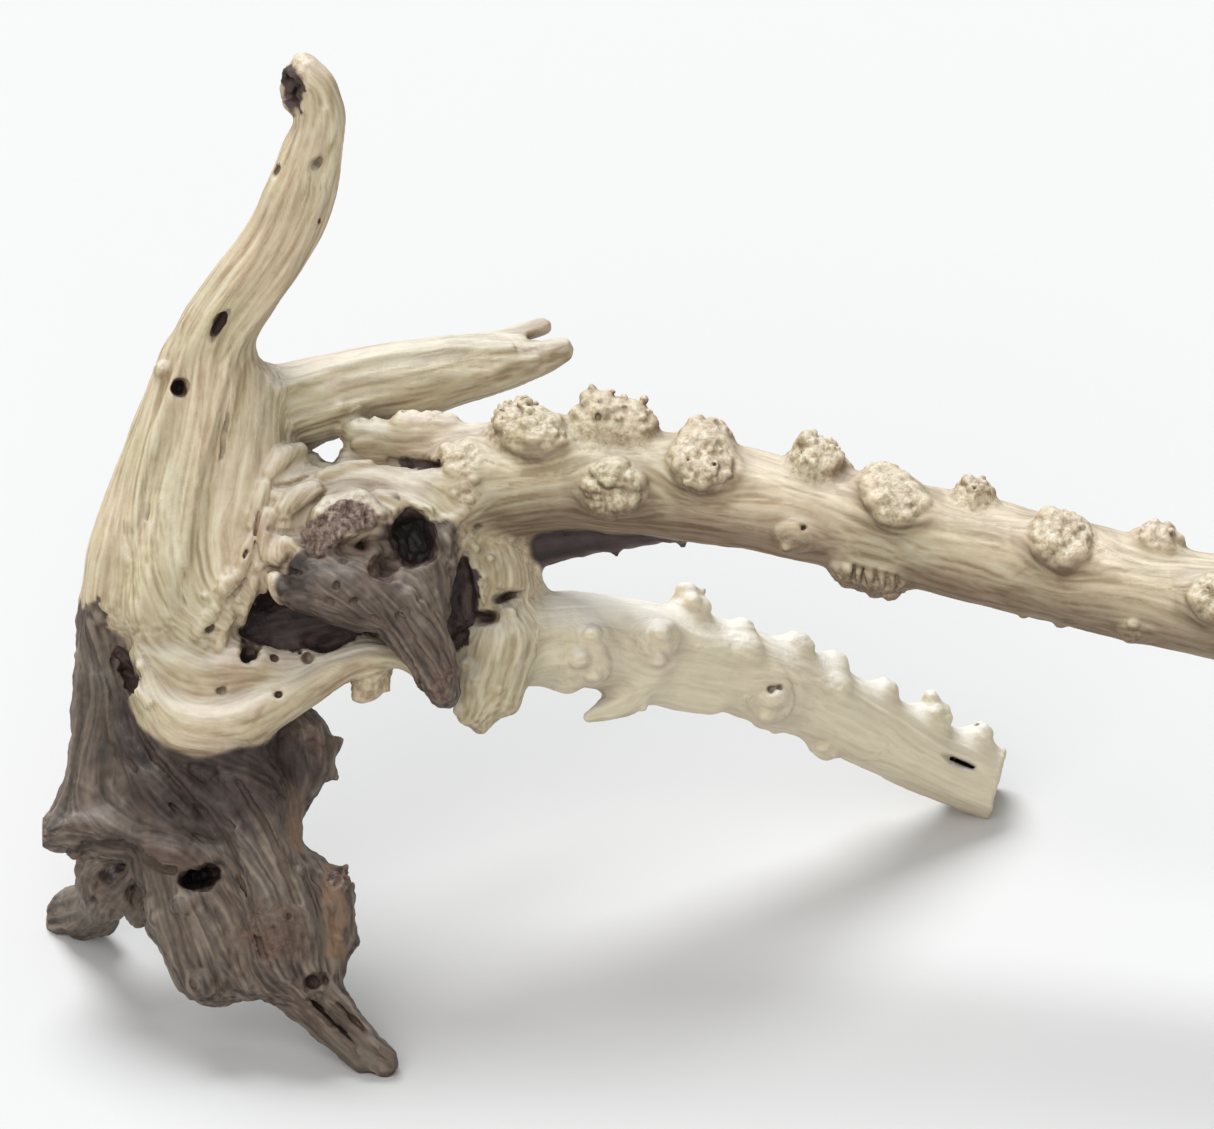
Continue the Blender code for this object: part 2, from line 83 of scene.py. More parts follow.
# Each strand of growth is a row of (across, up, deep, radius), root end first.
STRANDS = {
    "upright": [
        (84, 262, 14, 17.5), (84, 284, 10, 17), (87, 297, 6, 16), (95.5, 311, 2, 15),
        (107, 326, -4, 14.6), (114.5, 338, -9, 14.4),
        (120.5, 352, -15, 14), (125, 366.5, -21, 12.2), (128.4, 380, -27, 10), (127.6, 390, -30, 8.4),
        (124.5, 398, -32, 6.4),
        (121.8, 405, -34, 3.8),
    ],
    "upright_broken_tip": [(126, 396, -31, 6), (120.8, 395.5, -31, 8), (118.4, 390, -31, 5)],
    "slab_left": [
        (76, 282, 13, 13), (67, 258, 14, 14.5), (57.6, 234, 14, 13.6), (49.6, 210, 14, 14),
        (46.2, 192, 13, 13.4),
    ],
    "slab_middle": [
        (88, 278, 12, 17), (83, 254, 10, 18), (76, 230, 8, 18), (69, 206, 6, 18), (64, 188, 5, 16),
    ],
    "slab_right": [
        (100, 268, 16, 16), (99, 250, 12, 17), (95, 226, 8, 17), (88, 204, 6, 15), (80, 184, 6, 13),
    ],
    "back_branch": [
        (96, 264, 20, 16), (118, 268, 28, 18), (139, 273.5, 37, 16.6), (160, 277, 46, 16.2),
        (180, 282, 56, 14), (200, 285, 67, 11),
        (214, 287.3, 76, 7.8), (224, 290.4, 82, 5.2),
    ],
    "back_branch_fork": [
        (178, 287, 60, 6), (196, 292.6, 73, 5), (210, 297.6, 86, 4.2), (217, 300.6, 92, 3.4),
    ],
    "lip": [
        (57, 163, 0, 5), (60, 156, -1, 8), (67, 146, -2, 10), (80, 140, -3, 11.6), (96, 142, -3, 11),
        (112, 150.5, -2, 9.4),
        (128, 160, 0, 7.6), (142, 166, 0, 6), (156, 168, 0, 4.6), (165, 164, 0, 3), (171, 156, 0, 2),
    ],
    "lip_face": [
        (62, 168, 3, 8), (72, 164, 2, 11), (84, 160, 1, 12), (98, 164, 1, 11), (110, 163, 2, 8.5),
        (121, 166, 3, 6),
    ],
    "fold": [
        (78, 172, 4, 9), (86, 184, 2, 9.5), (94, 196, 0, 9.5), (102, 208, 0, 9), (108, 220, 1, 9.5),
        (112, 232, 4, 9.5),
        (117, 243, 8, 8),
    ],
    "core": [
        (96, 228, 20, 15), (118, 224, 20, 17), (142, 216, 18, 17), (166, 214, 16, 16),
        (186, 218, 16, 16), (202, 200, 24, 14),
        (204, 182, 25, 15),
    ],
    "arm_roots_back": [(118, 236, 20, 11), (150, 244, 25, 8), (170, 244, 22, 9), (190, 243, 18, 11)],
    "backing": [
        (46, 188, 28, 12), (66, 178, 28, 16), (88, 176, 28, 17), (112, 182, 28, 16),
        (138, 184, 26, 14.5), (160, 186, 24, 13.5),
        (186, 184, 24, 12.5),
    ],
    "backing_low": [(60, 168, 26, 14), (90, 164, 24, 15), (116, 164, 20, 10)],
    "upper_arm": [
        (180, 233, 11, 15), (194, 236, 10, 18.5), (209, 238, 8, 20.4), (226, 240.4, 6, 21.2),
        (248, 239, 4, 21), (280, 234.4, 1, 20.6),
        (312, 228.2, -3, 19.6), (340, 221.8, -7, 20.2), (368, 215.6, -11, 20.8),
        (400, 207.8, -15, 20.8), (432, 199.8, -20, 20.6),
        (460, 193.2, -24, 20.4), (486, 187, -28, 20.2), (500, 183.6, -30, 20),
    ],
    "arm_front_root": [
        (113, 192, -6, 6), (112.5, 203, -5, 7.5), (114, 216, -3, 9), (121, 228, 0, 9.6),
        (133, 234.6, 2, 9.2), (148, 236, 2, 8.8),
        (163, 233, 2, 10.5), (180, 231, 3, 14),
    ],
    "arm_back_root": [
        (141, 256, 22, 3), (148, 254.8, 22, 6.2), (160, 253.4, 21, 8), (176, 252, 18, 8.8),
        (194, 249, 14, 12),
    ],
    "stub": [
        (124, 196, -12, 9.5), (130, 196, -14, 12.5), (142, 194, -15, 15.5), (156, 191, -14, 15),
        (166.4, 180, -14, 12.4),
        (173.6, 166, -14, 9.4), (177.8, 154.6, -14, 6.8),
    ],
    "stub_crown": [(126, 213, -8, 6), (132, 219, -8, 8.5), (142, 223, -7, 9), (151, 223, -7, 6.5)],
    "hollow_rim": [(154, 222, -3, 9), (166, 216, -2, 15.5), (171, 204, -4, 12), (176, 192, -6, 8)],
    "flange": [(174, 222, 0, 8), (182, 213, 2, 6), (187, 204, 5, 3.6)],
    "pale_plate": [(196, 210, 14, 7), (199, 200, 13, 10.5), (198, 189, 14, 10), (202, 178, 16, 12)],
    "dark_underside": [
        (192, 214, 20, 9), (206, 211, 22, 8), (222, 213.5, 22, 7.6), (242, 217, 20, 7.2),
        (262, 219, 16, 6), (279, 221, 11, 4.6),
    ],
    "lower_arm": [
        (192, 170, 20, 13), (207, 173.4, 26, 17.2), (224, 175, 34, 18.8), (248, 172.4, 50, 18.8),
        (280, 166.2, 72, 18),
        (304, 159.2, 90, 17.4), (328, 149.4, 109, 16.5), (352, 137.4, 128, 15.8),
        (376, 125.6, 147, 15.2), (400, 115.6, 165, 14.8),
    ],
    "chin_spur": [(200, 170, 14, 13), (196, 157, 13, 11), (192.6, 147, 12, 7.4), (193, 140, 12, 2.8)],
    "chin_left_point": [(189, 156, 8, 6.4), (186.8, 146, 7, 3)],
    "chin_corner": [(201, 157, 14, 7.4), (203.4, 149.4, 14, 4)],
    "under_spur": [
        (256, 159, 50, 8), (252, 152, 48, 6.4), (244, 147.5, 46, 4.6), (235.5, 143.8, 44, 2),
    ],
    "under_ridge": [(262, 156, 58, 7), (272, 152, 64, 6), (284, 149.6, 70, 4.6)],
    "nub_under_lip": [(146, 169, 6, 7), (149, 159, 6, 6.6), (145.2, 152.6, 6, 2.8)],
    "flap_under_lip": [(128, 162, 14, 6), (138, 165.5, 14, 5.4), (146, 166, 12, 5)],
    "root_left": [
        (46, 188, 20, 13), (44.5, 168, 20, 14), (43.8, 150, 19, 14.6), (42.4, 131, 18, 14.4),
        (37.5, 115, 16, 13), (28, 102, 14, 9),
        (21.4, 98, 14, 5.6),
    ],
    "root_middle": [
        (62, 168, 22, 14), (64, 148, 18, 18), (66, 126, 12, 19), (69, 104, 8, 18), (75, 84, 6, 16.5),
        (82, 62, 6, 17),
        (88.5, 44, 6, 16.4),
    ],
    "root_right": [
        (90, 150, 20, 17), (94, 132, 12, 19), (97, 110, 6, 18.5), (101, 88, 3, 17.5), (111, 65, 0, 19),
        (113, 46, 0, 16.6),
    ],
    "root_edge": [
        (110, 154, 20, 9), (117, 142, 18, 9), (122.5, 132, 16, 11.4), (121, 120, 15, 10),
        (114.6, 108, 13, 8.6), (113.6, 98, 12, 8.6),
        (116.4, 88, 12, 8.6), (129.4, 74, 11, 11.2), (132, 62, 9, 10.8), (128, 48, 6, 10.4),
    ],
    "edge_spur": [(136, 58, 9, 5), (142.6, 54.5, 9, 2)],
    "root_tail": [
        (118, 46, 2, 14), (127, 33, 2, 10.6), (137.5, 21.4, 1, 8.4), (147, 12.4, 1, 7.2),
        (153.4, 6.4, 0, 6.2),
    ],
    "tail_splinter": [(118, 31, 4, 5.4), (127, 22.6, 3, 4.2), (136, 15, 2, 3.4), (143.6, 7, 1, 2.6)],
    "shelf": [(62, 106, 10, 12), (46, 102, 10, 10.4), (32, 98, 12, 8), (23.6, 96.6, 13, 5.4)],
    "ring_left": [(46, 94, 18, 7), (38.6, 87, 20, 6.4), (36.4, 79, 30, 6), (40, 71, 44, 8)],
    "ring_right": [
        (47, 92, 12, 5), (54.6, 89, 12, 5), (55.4, 83, 14, 5.2), (50, 76.5, 20, 5), (44, 72, 36, 7),
    ],
    "foot": [(44, 73, 42, 8.4), (38, 69, 62, 8.8), (32, 66.4, 79, 9.8), (27.6, 65.4, 88, 9.2)],
    "foot_toe": [(41, 61.4, 75, 5), (33, 60.6, 86, 6.4), (25, 60.6, 92, 6.4)],
    "dark_flap": [(66, 80, 20, 8), (58, 70, 26, 7), (55.4, 65, 30, 5)],
    "low_left_lobe": [(70, 84, 10, 12), (68, 70, 10, 12), (74, 54, 10, 10), (80, 42, 10, 9)],
}
BLEND_WIDTH = 7.0
HIDDEN_STRANDS = {"core", "backing", "backing_low", "arm_roots_back"}
PARTED_BY_BURLS = 0.8

# Noises drawn out along the grain: width of a lump, reach each way, distance between samples, seed.
GRAINS = {"fine": (1.3, 24.0, 1, 3), "streaks": (2.3, 32.0, 2, 5), "flutes": (6.5, 64.0, 4, 9)}
NEAR_STEP = 1.0
NEAR_REACH = 32.0
FAR_STEP = 4.0
MOST_NOISE = 2.4
# Other noises: width of a lump and seed.
LUMPS = {
    "patch": (22, 7), "crumb": (2.2, 11), "sway": (15, 13), "grey": (6, 17), "pits": (3.4, 19),
    "splits": (4, 27), "rot": (4.5, 21), "fine_rot": (2.0, 23), "edge": (5, 31), "fine_edge": (2, 33),
}
# How far noises move the skin outward, in millimetres.
RELIEF = {
    "fine": 0.03, "streaks": 0.10, "streaks_in_patches": 0.16, "flutes": 0.24,
    "less_flutes_on_lower_arm": 0.14, "burl_crumb": 0.8, "grey_crumb": 0.9, "grey": 1.8,
    "pits": 4.4, "pit_crumb": 2.6, "splits": 1.6, "sway": 1.4,
}
# Some lines are noise over two of these values, so that they too run along the grain.
LINES_BY_FLUTES = 9.0
LINES_BY_STREAKS = 2.2

# Each piece of the mesh is the wood nearest to these strands.
PIECES = {
    "upright_branch": ["upright", "upright_broken_tip"],
    "trunk": [
        "slab_left", "slab_middle", "slab_right", "lip", "lip_face", "fold", "backing", "backing_low",
        "nub_under_lip",
    ],
    "back_branch": ["back_branch", "back_branch_fork", "arm_roots_back"],
    "joint": ["core", "arm_front_root", "arm_back_root", "flange", "pale_plate", "dark_underside",
    "chin_spur",
              "chin_left_point", "chin_corner", "stub", "stub_crown", "hollow_rim", "flap_under_lip"],
    "upper_arm": ["upper_arm"],
    "lower_arm": ["lower_arm", "under_spur", "under_ridge"],
    "root_mass": ["root_left", "root_middle", "root_right", "root_edge", "edge_spur", "root_tail",
    "tail_splinter", "shelf",
                  "ring_left", "ring_right", "foot", "foot_toe", "dark_flap", "low_left_lobe"],
    "upper_arm_end": [],
}
ARM_PIECE_ENDS = 345.0
# Lines that only steer the grain, over the strands that they lie on: rows of (across, up, deep, radius).
GRAIN_LINES = {
    "down_the_slab": [
        (64, 262, -6, 12), (58, 222, -8, 14), (66, 190, -8, 12), (84, 174, -10, 10), (106, 168, -8, 8),
    ],
    "slab_edge": [(88, 262, -6, 10), (82, 226, -10, 12), (84, 200, -10, 10), (98, 184, -10, 8)],
    "down_the_root": [
        (44, 170, 4, 14), (56, 134, -6, 14), (80, 108, -12, 14), (102, 80, -16, 14), (114, 48, -16, 12),
    ],
    "root_left_side": [
        (42, 150, 4, 10), (36, 116, 4, 10), (52, 98, -4, 9), (78, 92, -12, 8), (94, 74, -16, 9),
    ],
    "under_the_lip": [
        (70, 128, -6, 10), (94, 124, -8, 10), (116, 112, -4, 9), (122, 90, 0, 8), (128, 64, 2, 8),
    ],
    "down_the_stub": [
        (128, 214, -24, 10), (142, 200, -30, 12), (158, 184, -28, 10), (172, 164, -22, 8),
    ],
    "along_the_tail": [(112, 40, -14, 10), (130, 25, -10, 8), (150, 8, -6, 6)],
}

GREY_STRANDS = set(PIECES["root_mass"]) | {"stub", "hollow_rim", "backing_low", "flap_under_lip"}
# The dark underside gets painted shade all over.
DARK_SHADE_STRANDS = {"dark_underside"}
# The upper arm gets painted shade on its lower side, and less painted top light.
SHADED_STRANDS = {"upper_arm"}
# The lower arm and its spurs get painted light: lighter all over and more top light.
ARM_LIGHT_STRANDS = {"lower_arm", "under_spur", "under_ridge"}

# Warty burls: strand, across, up, radius and how far the burl stands out, as a share of its radius.
BURLS = [
    ("arm_back_root", 163, 265, 4.6, 1.0), ("arm_back_root", 173, 268, 4.2, 1.2),
    ("arm_back_root", 180, 266, 3, 1.2),
    ("arm_back_root", 143, 259, 3, 1.0),
    ("upper_arm", 208, 261, 11, 1.2), ("upper_arm", 217, 255, 9.6, 0.9),
    ("upper_arm", 240, 263, 10.5, 1.5), ("upper_arm", 252, 263, 10.5, 1.25),
    ("upper_arm", 282, 256, 10, 0.9), ("upper_arm", 281, 245, 12, 0.6),
    ("upper_arm", 245, 235, 11.4, 0.55),
    ("upper_arm", 327, 248, 10.5, 1.2), ("upper_arm", 353, 237, 10, 0.6),
    ("upper_arm", 358, 229, 10, 0.5),
    ("upper_arm", 389, 233, 7.4, 1.3), ("upper_arm", 424, 214, 12, 0.5),
    ("upper_arm", 461, 213, 9, 1.0),
    ("upper_arm", 484, 191, 8.6, 0.4), ("upper_arm", 317, 216.5, 6.5, 0.45),
    ("upper_arm", 341, 201, 8, 0.7),
    ("upper_arm", 353, 199, 8, 0.8), ("upper_arm", 452, 178, 4, 0.7), ("upper_arm", 185, 245, 9, 0.6),
    ("upper_arm", 186, 233, 6.5, 0.6),
    ("lower_arm", 276, 191, 9, 1.6), ("lower_arm", 264, 175, 8.4, 0.55),
    ("lower_arm", 264, 167, 4, 0.8),
    ("lower_arm", 237, 175, 5, 0.8), ("lower_arm", 236, 164, 8, 0.5),
    ("lower_arm", 297, 178.4, 3.4, 1.2),
    ("lower_arm", 295, 170, 3, 0.8), ("lower_arm", 300, 171, 2.4, 0.8),
    ("lower_arm", 319, 173, 7.2, 0.9),
    ("lower_arm", 334, 165, 5.6, 0.8), ("lower_arm", 335, 155, 4.2, 0.7),
    ("lower_arm", 355, 154, 5.6, 0.9),
    ("lower_arm", 375, 146, 8.4, 1.0), ("lower_arm", 394, 137, 6, 1.2),
    ("lower_arm", 309, 150, 8.4, 0.4),
    ("lower_arm", 330, 130, 4, 0.7), ("lower_arm", 226, 157, 3, 0.6),
    ("stub_crown", 134, 222, 8.5, 0.5), ("stub_crown", 143, 226, 7, 0.5),
]
FAR_BURL_ROWS = [("upper_arm", 0.14, 0.95, 9), ("lower_arm", 0.2, 0.92, 6)]
FAR_BURL_SEED = 41
# How warty some burls are, by their place; 1 is the most usual.
WARTS = {
    (240, 263): 0.3, (252, 263): 0.35, (317, 216.5): 0.0, (327, 248): 0.6, (282, 256): 0.8, (389, 233): 0.7,
    (424, 214): 0.7, (461, 213): 0.7, (185, 245): 0.4, (186, 233): 0.4, (134, 222): 1.4, (143, 226): 1.4,
    (341, 201): 1.4, (353, 199): 1.4,
}
LOWER_ARM_WARTS = 0.1
FAR_BURL_WARTS = 0.8
WARTS_WITH_A_HOLE = 0.05
GOLDEN_ANGLE = math.radians(137.5)

# Hollows: across, up, deep, half sizes in those directions, and the turn in the drawing in degrees.
HOLLOWS = {
    "stub_hollow": [(165, 215, -18, 10.5, 13, 19, 8), (155, 204.5, -28, 6.5, 6.5, 12, -35)],
    "slit_between_arm_roots": [(167, 244.6, -2, 10, 2.6, 13, -4)],
    "gap_over_fold": [(132.6, 249, 12, 4.4, 3.8, 36, 30)],
    "gap_behind_fold": [
        (110, 186, -3, 8, 9, 12, -20), (122, 176, -2, 11, 4.5, 10, 8), (101, 172, -4, 4, 8, 9, -25),
    ],
    "crack_beside_stub": [(184, 192, -4, 3.6, 17, 13, -9)],
    "chin_holes": [(203, 191.5, 2, 6, 2.2, 10, 22), (193, 183, 2, 6.5, 2.4, 10, 8)],
    "gap_under_slab": [(51.6, 162, 0, 4, 10, 12, 24)],
    "root_hollow": [(81, 80, -8, 8.5, 4.8, 20, 12)],
    "root_side_hollow": [(54.6, 70, 10, 4.6, 7.5, 13, 5)],
    "ring_hole": [(46.4, 82, 16, 6, 2.6, 22, 32)],
    "shelf_hollow": [(46, 92.6, -2, 12, 3.6, 7, -8)],
    "tail_cracks": [
        (134, 22, -8, 15, 1.3, 8, -45), (141, 24, -8, 11, 1.2, 6, -47), (126, 38, -14, 3, 3, 7, 0),
    ],
    "upright_hollows": [
        (88, 300, -10, 1.7, 6.4, 5, -28), (72, 275, -2, 2.5, 3.2, 9, -10),
        (127.6, 364, -33, 1.7, 3.8, 4, -35),
    ],
    "tip_hollow": [(116.6, 392, -38, 5.6, 9, 9, 10)],
    "fork_gap": [(217, 295.4, 86, 8, 1.3, 24, 6)],
    "sawn_end_crack": [(386, 124.6, 140, 6, 0.7, 12, -22)],
}

# Details on the front, laid on its skin. A ridge is a row of (across, up, radius).
RIDGES = {
    "brow": [
        (21, 98, 3.4), (32, 100, 4.4), (44, 100, 5), (56, 95, 5), (66, 91, 5.4), (78, 89, 5),
        (90, 88, 4),
    ],
    "root_flute_a": [(40, 158, 3), (50, 134, 4), (66, 112, 4), (86, 98, 3)],
    "root_flute_b": [(64, 120, 3), (86, 110, 4.4), (100, 90, 5), (110, 62, 4.4), (116, 41, 3)],
    "root_flute_c": [(90, 120, 3), (105, 110, 4.4), (114, 86, 4), (124, 58, 3)],
    "root_flute_d": [(62, 70, 3), (70, 52, 4), (80, 36, 3)],
    "root_flute_e": [(78, 70, 3.4), (90, 50, 4.4), (100, 33, 3)],
    "tail_ridge_a": [(120, 32, 2.4), (136, 20, 2), (150, 10, 1.8)],
    "tail_ridge_b": [(132, 34, 2.2), (143, 22, 2), (153, 9, 1.6)],
    "upright_flute_a": [
        (54, 222, 2.6), (64, 258, 2.6), (80, 296, 2.6), (102, 324, 2.4), (120, 360, 2.2),
        (130, 384, 1.8),
    ],
    "upright_flute_b": [(74, 206, 2.4), (82, 250, 2.6), (94, 290, 2.6), (114, 318, 2.4), (128, 352, 2)],
    "back_flute_a": [(112, 274, 2.4), (140, 284, 2.4), (172, 290, 2), (204, 291, 1.4)],
    "back_flute_b": [(116, 260, 2.2), (148, 270, 2.4), (184, 279, 2), (214, 287, 1.4)],
    "stub_edge": [(124, 212, 3), (118, 200, 3), (121, 191, 2.6)],
    "stub_leg_a": [(149, 190, 2.4), (160, 174, 2.4), (170, 157, 2)],
    "stub_leg_b": [(164, 192, 2.2), (172, 174, 2.2), (178, 156, 1.8)],
    "hollow_side": [(153, 224, 2.6), (150, 213, 2.4), (151, 203, 2)],
    "finger_a": [(205, 258, 1.5), (203.4, 253, 1.7)],
    "finger_b": [(208.6, 256, 1.5), (207.4, 250.4, 1.8)],
    "finger_c": [(212, 255, 1.5), (211.2, 249, 1.8)],
    "finger_d": [(215.4, 254.6, 1.5), (215.2, 249, 1.7)],
    "finger_e": [(218.8, 256, 1.5), (219.4, 251, 1.6)],
}

# Webs of wood that fill deep creases: rows of (across, up, deep, radius).
WEBS = {
    "behind_the_stub": [(172, 200, 16, 8), (184, 199, 19, 8.5), (196, 197, 20, 8)],
    "behind_the_ring": [(41, 78, 48, 6), (50, 85, 49, 7), (56, 92, 46, 6)],
}

# Small spikes and splinters: rows of (across, up, deep, radius).
SPIKES = {
    "arm_tooth_a": [(338.6, 203.4, -8, 2), (337.8, 199.4, -9, 0.7)],
    "arm_tooth_b": [(342.6, 201.6, -9, 2.2), (341.6, 196.8, -10, 0.8)],
    "arm_tooth_c": [(346.6, 200.4, -7, 2.2), (346.8, 195.4, -8, 0.8)],
    "arm_tooth_d": [(350.6, 199.4, -10, 2.2), (351.4, 194.4, -12, 0.8)],
    "arm_tooth_e": [(355, 198.4, -8, 2.4), (355.4, 192.8, -9, 0.9)],
    "arm_tooth_f": [(359.4, 198, -9, 2.2), (361, 194.2, -10, 0.8)],
    "burl_spike": [(244, 227, -13, 3), (243.4, 221.6, -13, 0.8)],
    "wedge_nub_a": [(214, 205, 20, 3), (213.4, 200.4, 20, 1)],
    "wedge_nub_b": [(246, 212.6, 18, 2.6), (246.6, 208.6, 18, 0.9)],
    "wedge_nub_c": [(272, 216.4, 12, 2.4), (273, 212.8, 12, 0.9)],
    "root_start_a": [(144, 256.4, 20, 3), (139.4, 258.6, 19, 0.9)],
    "root_start_b": [(147, 253, 18, 3), (141.6, 252.4, 16, 1)],
    "root_start_c": [(152, 259, 20, 3), (150, 263.4, 20, 1)],
    "chin_thorn_a": [(184.4, 150, 7, 2.6), (182, 146, 6, 0.8)],
    "chin_thorn_b": [(203, 156, 12, 3), (207, 153.4, 11, 1)],
    "plate_thorn_a": [(206, 198, 12, 3), (210.4, 196, 12, 0.9)],
    "plate_thorn_b": [(204, 205, 14, 3), (208.6, 206.4, 14, 0.9)],
    "spur_thorn_a": [(247, 150, 46, 3), (243, 146.4, 44, 0.8)],
    "spur_thorn_b": [(256, 152, 48, 3.4), (257.4, 147, 47, 1)],
    "under_nub_a": [(268, 155, 62, 3.4), (267, 150.6, 61, 1.2)],
    "under_nub_b": [(274, 153.4, 65, 3.6), (275, 148.6, 64, 1.4)],
    "under_nub_c": [(281, 152, 69, 3.4), (283, 147.4, 68, 1.2)],
    "tail_splinter_a": [(136, 24, -4, 3), (148, 13, -4, 2.6), (156, 5.4, -3, 1)],
    "tail_splinter_b": [(128, 22, 2, 3), (138, 12.6, 1, 2.4), (145, 4.4, 0, 0.9)],
    "tail_splinter_c": [(142, 22, 0, 3), (152, 12, 0, 2.4), (159, 4.6, 0, 1)],
    "lip_thorn_a": [(152, 158, 5, 3), (155.4, 154.6, 5, 0.8)],
    "lip_thorn_b": [(144, 156, 5, 3), (142.4, 151.4, 5, 0.8)],
    "flange_a": [(136, 74, 10, 4), (141.4, 76.6, 10, 1.2)],
    "flange_b": [(138, 66, 10, 4), (142.6, 65.4, 10, 1.2)],
    "flange_c": [(134, 80, 11, 4), (138.4, 84, 11, 1.2)],
    "edge_tooth_a": [(132, 132, 15, 4), (136.4, 134.6, 15, 1.2)],
    "edge_tooth_b": [(130.6, 122, 15, 4), (134.6, 119.6, 15, 1.2)],
}

# Crisp folds on the front, like folded cloth: rows of (across, up, radius).
FOLDS = {
    "lobe_top": [(126, 233.6, 4.6), (119, 230.4, 5), (114.4, 226, 4.8)],
    "lobe_middle": [(121, 211, 4), (114.6, 212.4, 4.8), (111.6, 208, 4)],
    "lobe_low": [(121.6, 190.8, 4), (115, 193.4, 5.2), (110.8, 198, 4.2)],
    "lobe_side": [(108.6, 224, 3), (106.8, 216, 3.4), (108, 208, 3)],
    "crest_a": [(120, 250, 3.4), (113, 247.4, 4), (108.4, 241, 3.4)],
    "crest_b": [(106.4, 236, 3), (104.4, 229, 3.2), (102.4, 222, 2.6)],
    "crest_c": [(103, 217, 2.6), (99.4, 211, 3), (97.6, 204.6, 2.6)],
    "crest_d": [(96.6, 201, 2.4), (91, 196.4, 3), (87.4, 191, 2.4)],
    "crest_e": [(87, 187.4, 2.4), (82.4, 182, 3), (79, 176.4, 2.4)],
    "crest_f": [(102.4, 198, 2.4), (99, 190.4, 2.8), (96.6, 182, 2.4)],
    "crest_g": [(92.6, 184.4, 2.2), (89.4, 177.4, 2.6), (88.4, 171, 2)],
    "arm_fold": [(129, 240, 2.6), (138, 243.4, 3), (148, 244.4, 2.6)],
    "arm_fold_end": [(152, 232, 2.6), (162, 229.6, 3), (171, 225.6, 2.6)],
    "arm_fold_low": [(186, 226, 2.4), (180, 220, 3), (178.6, 212, 2.6), (181, 205.4, 2)],
    "plate_edge": [(190, 204, 2), (191.4, 196, 2.2), (194, 190, 1.8)],
    "lip_rim": [(56, 163, 3), (55.6, 156, 3), (60.4, 149, 2.8)],
}

# Knobs on the front: across, up, radius.
KNOBS = {
    "folds": [
        (104.8, 231, 2.2), (101, 219.6, 2), (98.4, 208.8, 2), (94.6, 201, 2.2), (89.6, 198, 2.2),
        (82.4, 191.6, 2),
        (79, 180, 2.4), (96, 190.4, 2), (86, 184, 2.2), (82, 171.2, 2), (100.4, 224.6, 1.8),
        (110.4, 243, 2.4),
        (117, 250, 2.4), (104, 203.4, 2), (92, 188, 1.8), (111, 231.6, 2.4), (112, 216.8, 2),
        (108.4, 199.4, 2.2),
    ],
    "arm_root": [
        (184, 248, 3), (180.8, 242.4, 2.6), (190, 238.4, 2.6), (182, 232.4, 2.4), (188, 230.4, 2.2),
        (132, 242.4, 2.6),
        (178, 222.4, 2.4), (184, 216.4, 2.8), (200, 154.4, 2.2), (136, 267.6, 3), (186.4, 164.8, 3),
        (190, 158, 2.2),
        (194, 200, 2.4), (200, 196, 2), (196, 207, 2.2), (190, 211, 2.4), (205, 186, 2),
    ],
    "arms": [
        (452, 180.8, 2.4), (408.8, 185, 1.6), (314, 211.2, 2.4), (309, 151, 5.4), (307, 144.6, 4),
        (236.4, 177, 4),
        (231.6, 167, 4.4), (237, 160.4, 3.6), (264, 177, 4.4), (263.6, 166.4, 3.4), (330, 131.4, 3),
    ],
    "upright": [(66, 282, 4.2)],
    "root": [
        (124, 36.4, 6), (30, 90.4, 4), (74, 68.4, 5), (64, 64.4, 4), (82, 38, 6), (100, 36.4, 5),
        (132, 68.4, 4),
        (136, 56, 2.5), (120, 82.4, 3),
    ],
    "stub": [(120, 198.4, 4), (132, 211.2, 4)],
}

# Small holes on the front: across, up, half sizes across and up, depth and turn in degrees.
HOLES = {
    "lip": [
        (110, 167.2, 1.7, 1.7, 4, 0), (123.6, 167.2, 2.3, 2.3, 5, 20), (112, 152.8, 2, 1.8, 4, 0),
        (89.2, 154.4, 3, 2, 3, 10),
    ],
    "folds": [(84.4, 179.2, 1.4, 2, 3, -30), (99, 209, 0.8, 2.4, 3, -25)],
    "arms": [
        (308.8, 154.4, 1.3, 1.6, 3, 0), (312, 155.2, 1, 1.2, 3, 0), (320.8, 219.2, 1.2, 1.2, 4, 0),
        (191.2, 219.6, 2.2, 2, 4, 0),
    ],
    "upright": [(128, 340.8, 0.8, 2, 3, -15), (111.6, 361, 1.4, 3, 5, -25)],
    "stub": [
        (156.6, 205.4, 5.4, 5, 9, -35), (138, 206.4, 1.4, 1.1, 1.5, 0), (135.2, 196.4, 1, 1.4, 1.2, 0),
        (142, 190.4, 1.6, 1, 1.4, 20), (162, 185.6, 1, 1.3, 1.2, 0), (168, 191.2, 1.4, 1, 1.2, 0),
        (132, 190.4, 1.3, 0.9, 1.2, 0), (127, 204, 1, 1.2, 1.4, 30), (149, 184, 1.2, 0.8, 1.2, 0),
    ],
    "root": [
        (104.8, 65.6, 1.1, 0.8, 1.2, 0), (110, 60.4, 1.3, 1, 1.4, 0), (116, 64.4, 1, 1.2, 1.2, 0),
        (114, 52.4, 1.2, 0.9, 1.3, 0), (122, 56.4, 1, 1, 1.2, 0), (102, 54.4, 0.9, 1.2, 1.2, 0),
        (130.4, 39.6, 2.2, 1.4, 5, -40), (57, 66, 3.6, 6, 9, 8), (81, 79.4, 7.4, 4.4, 12, 10),
    ],
}

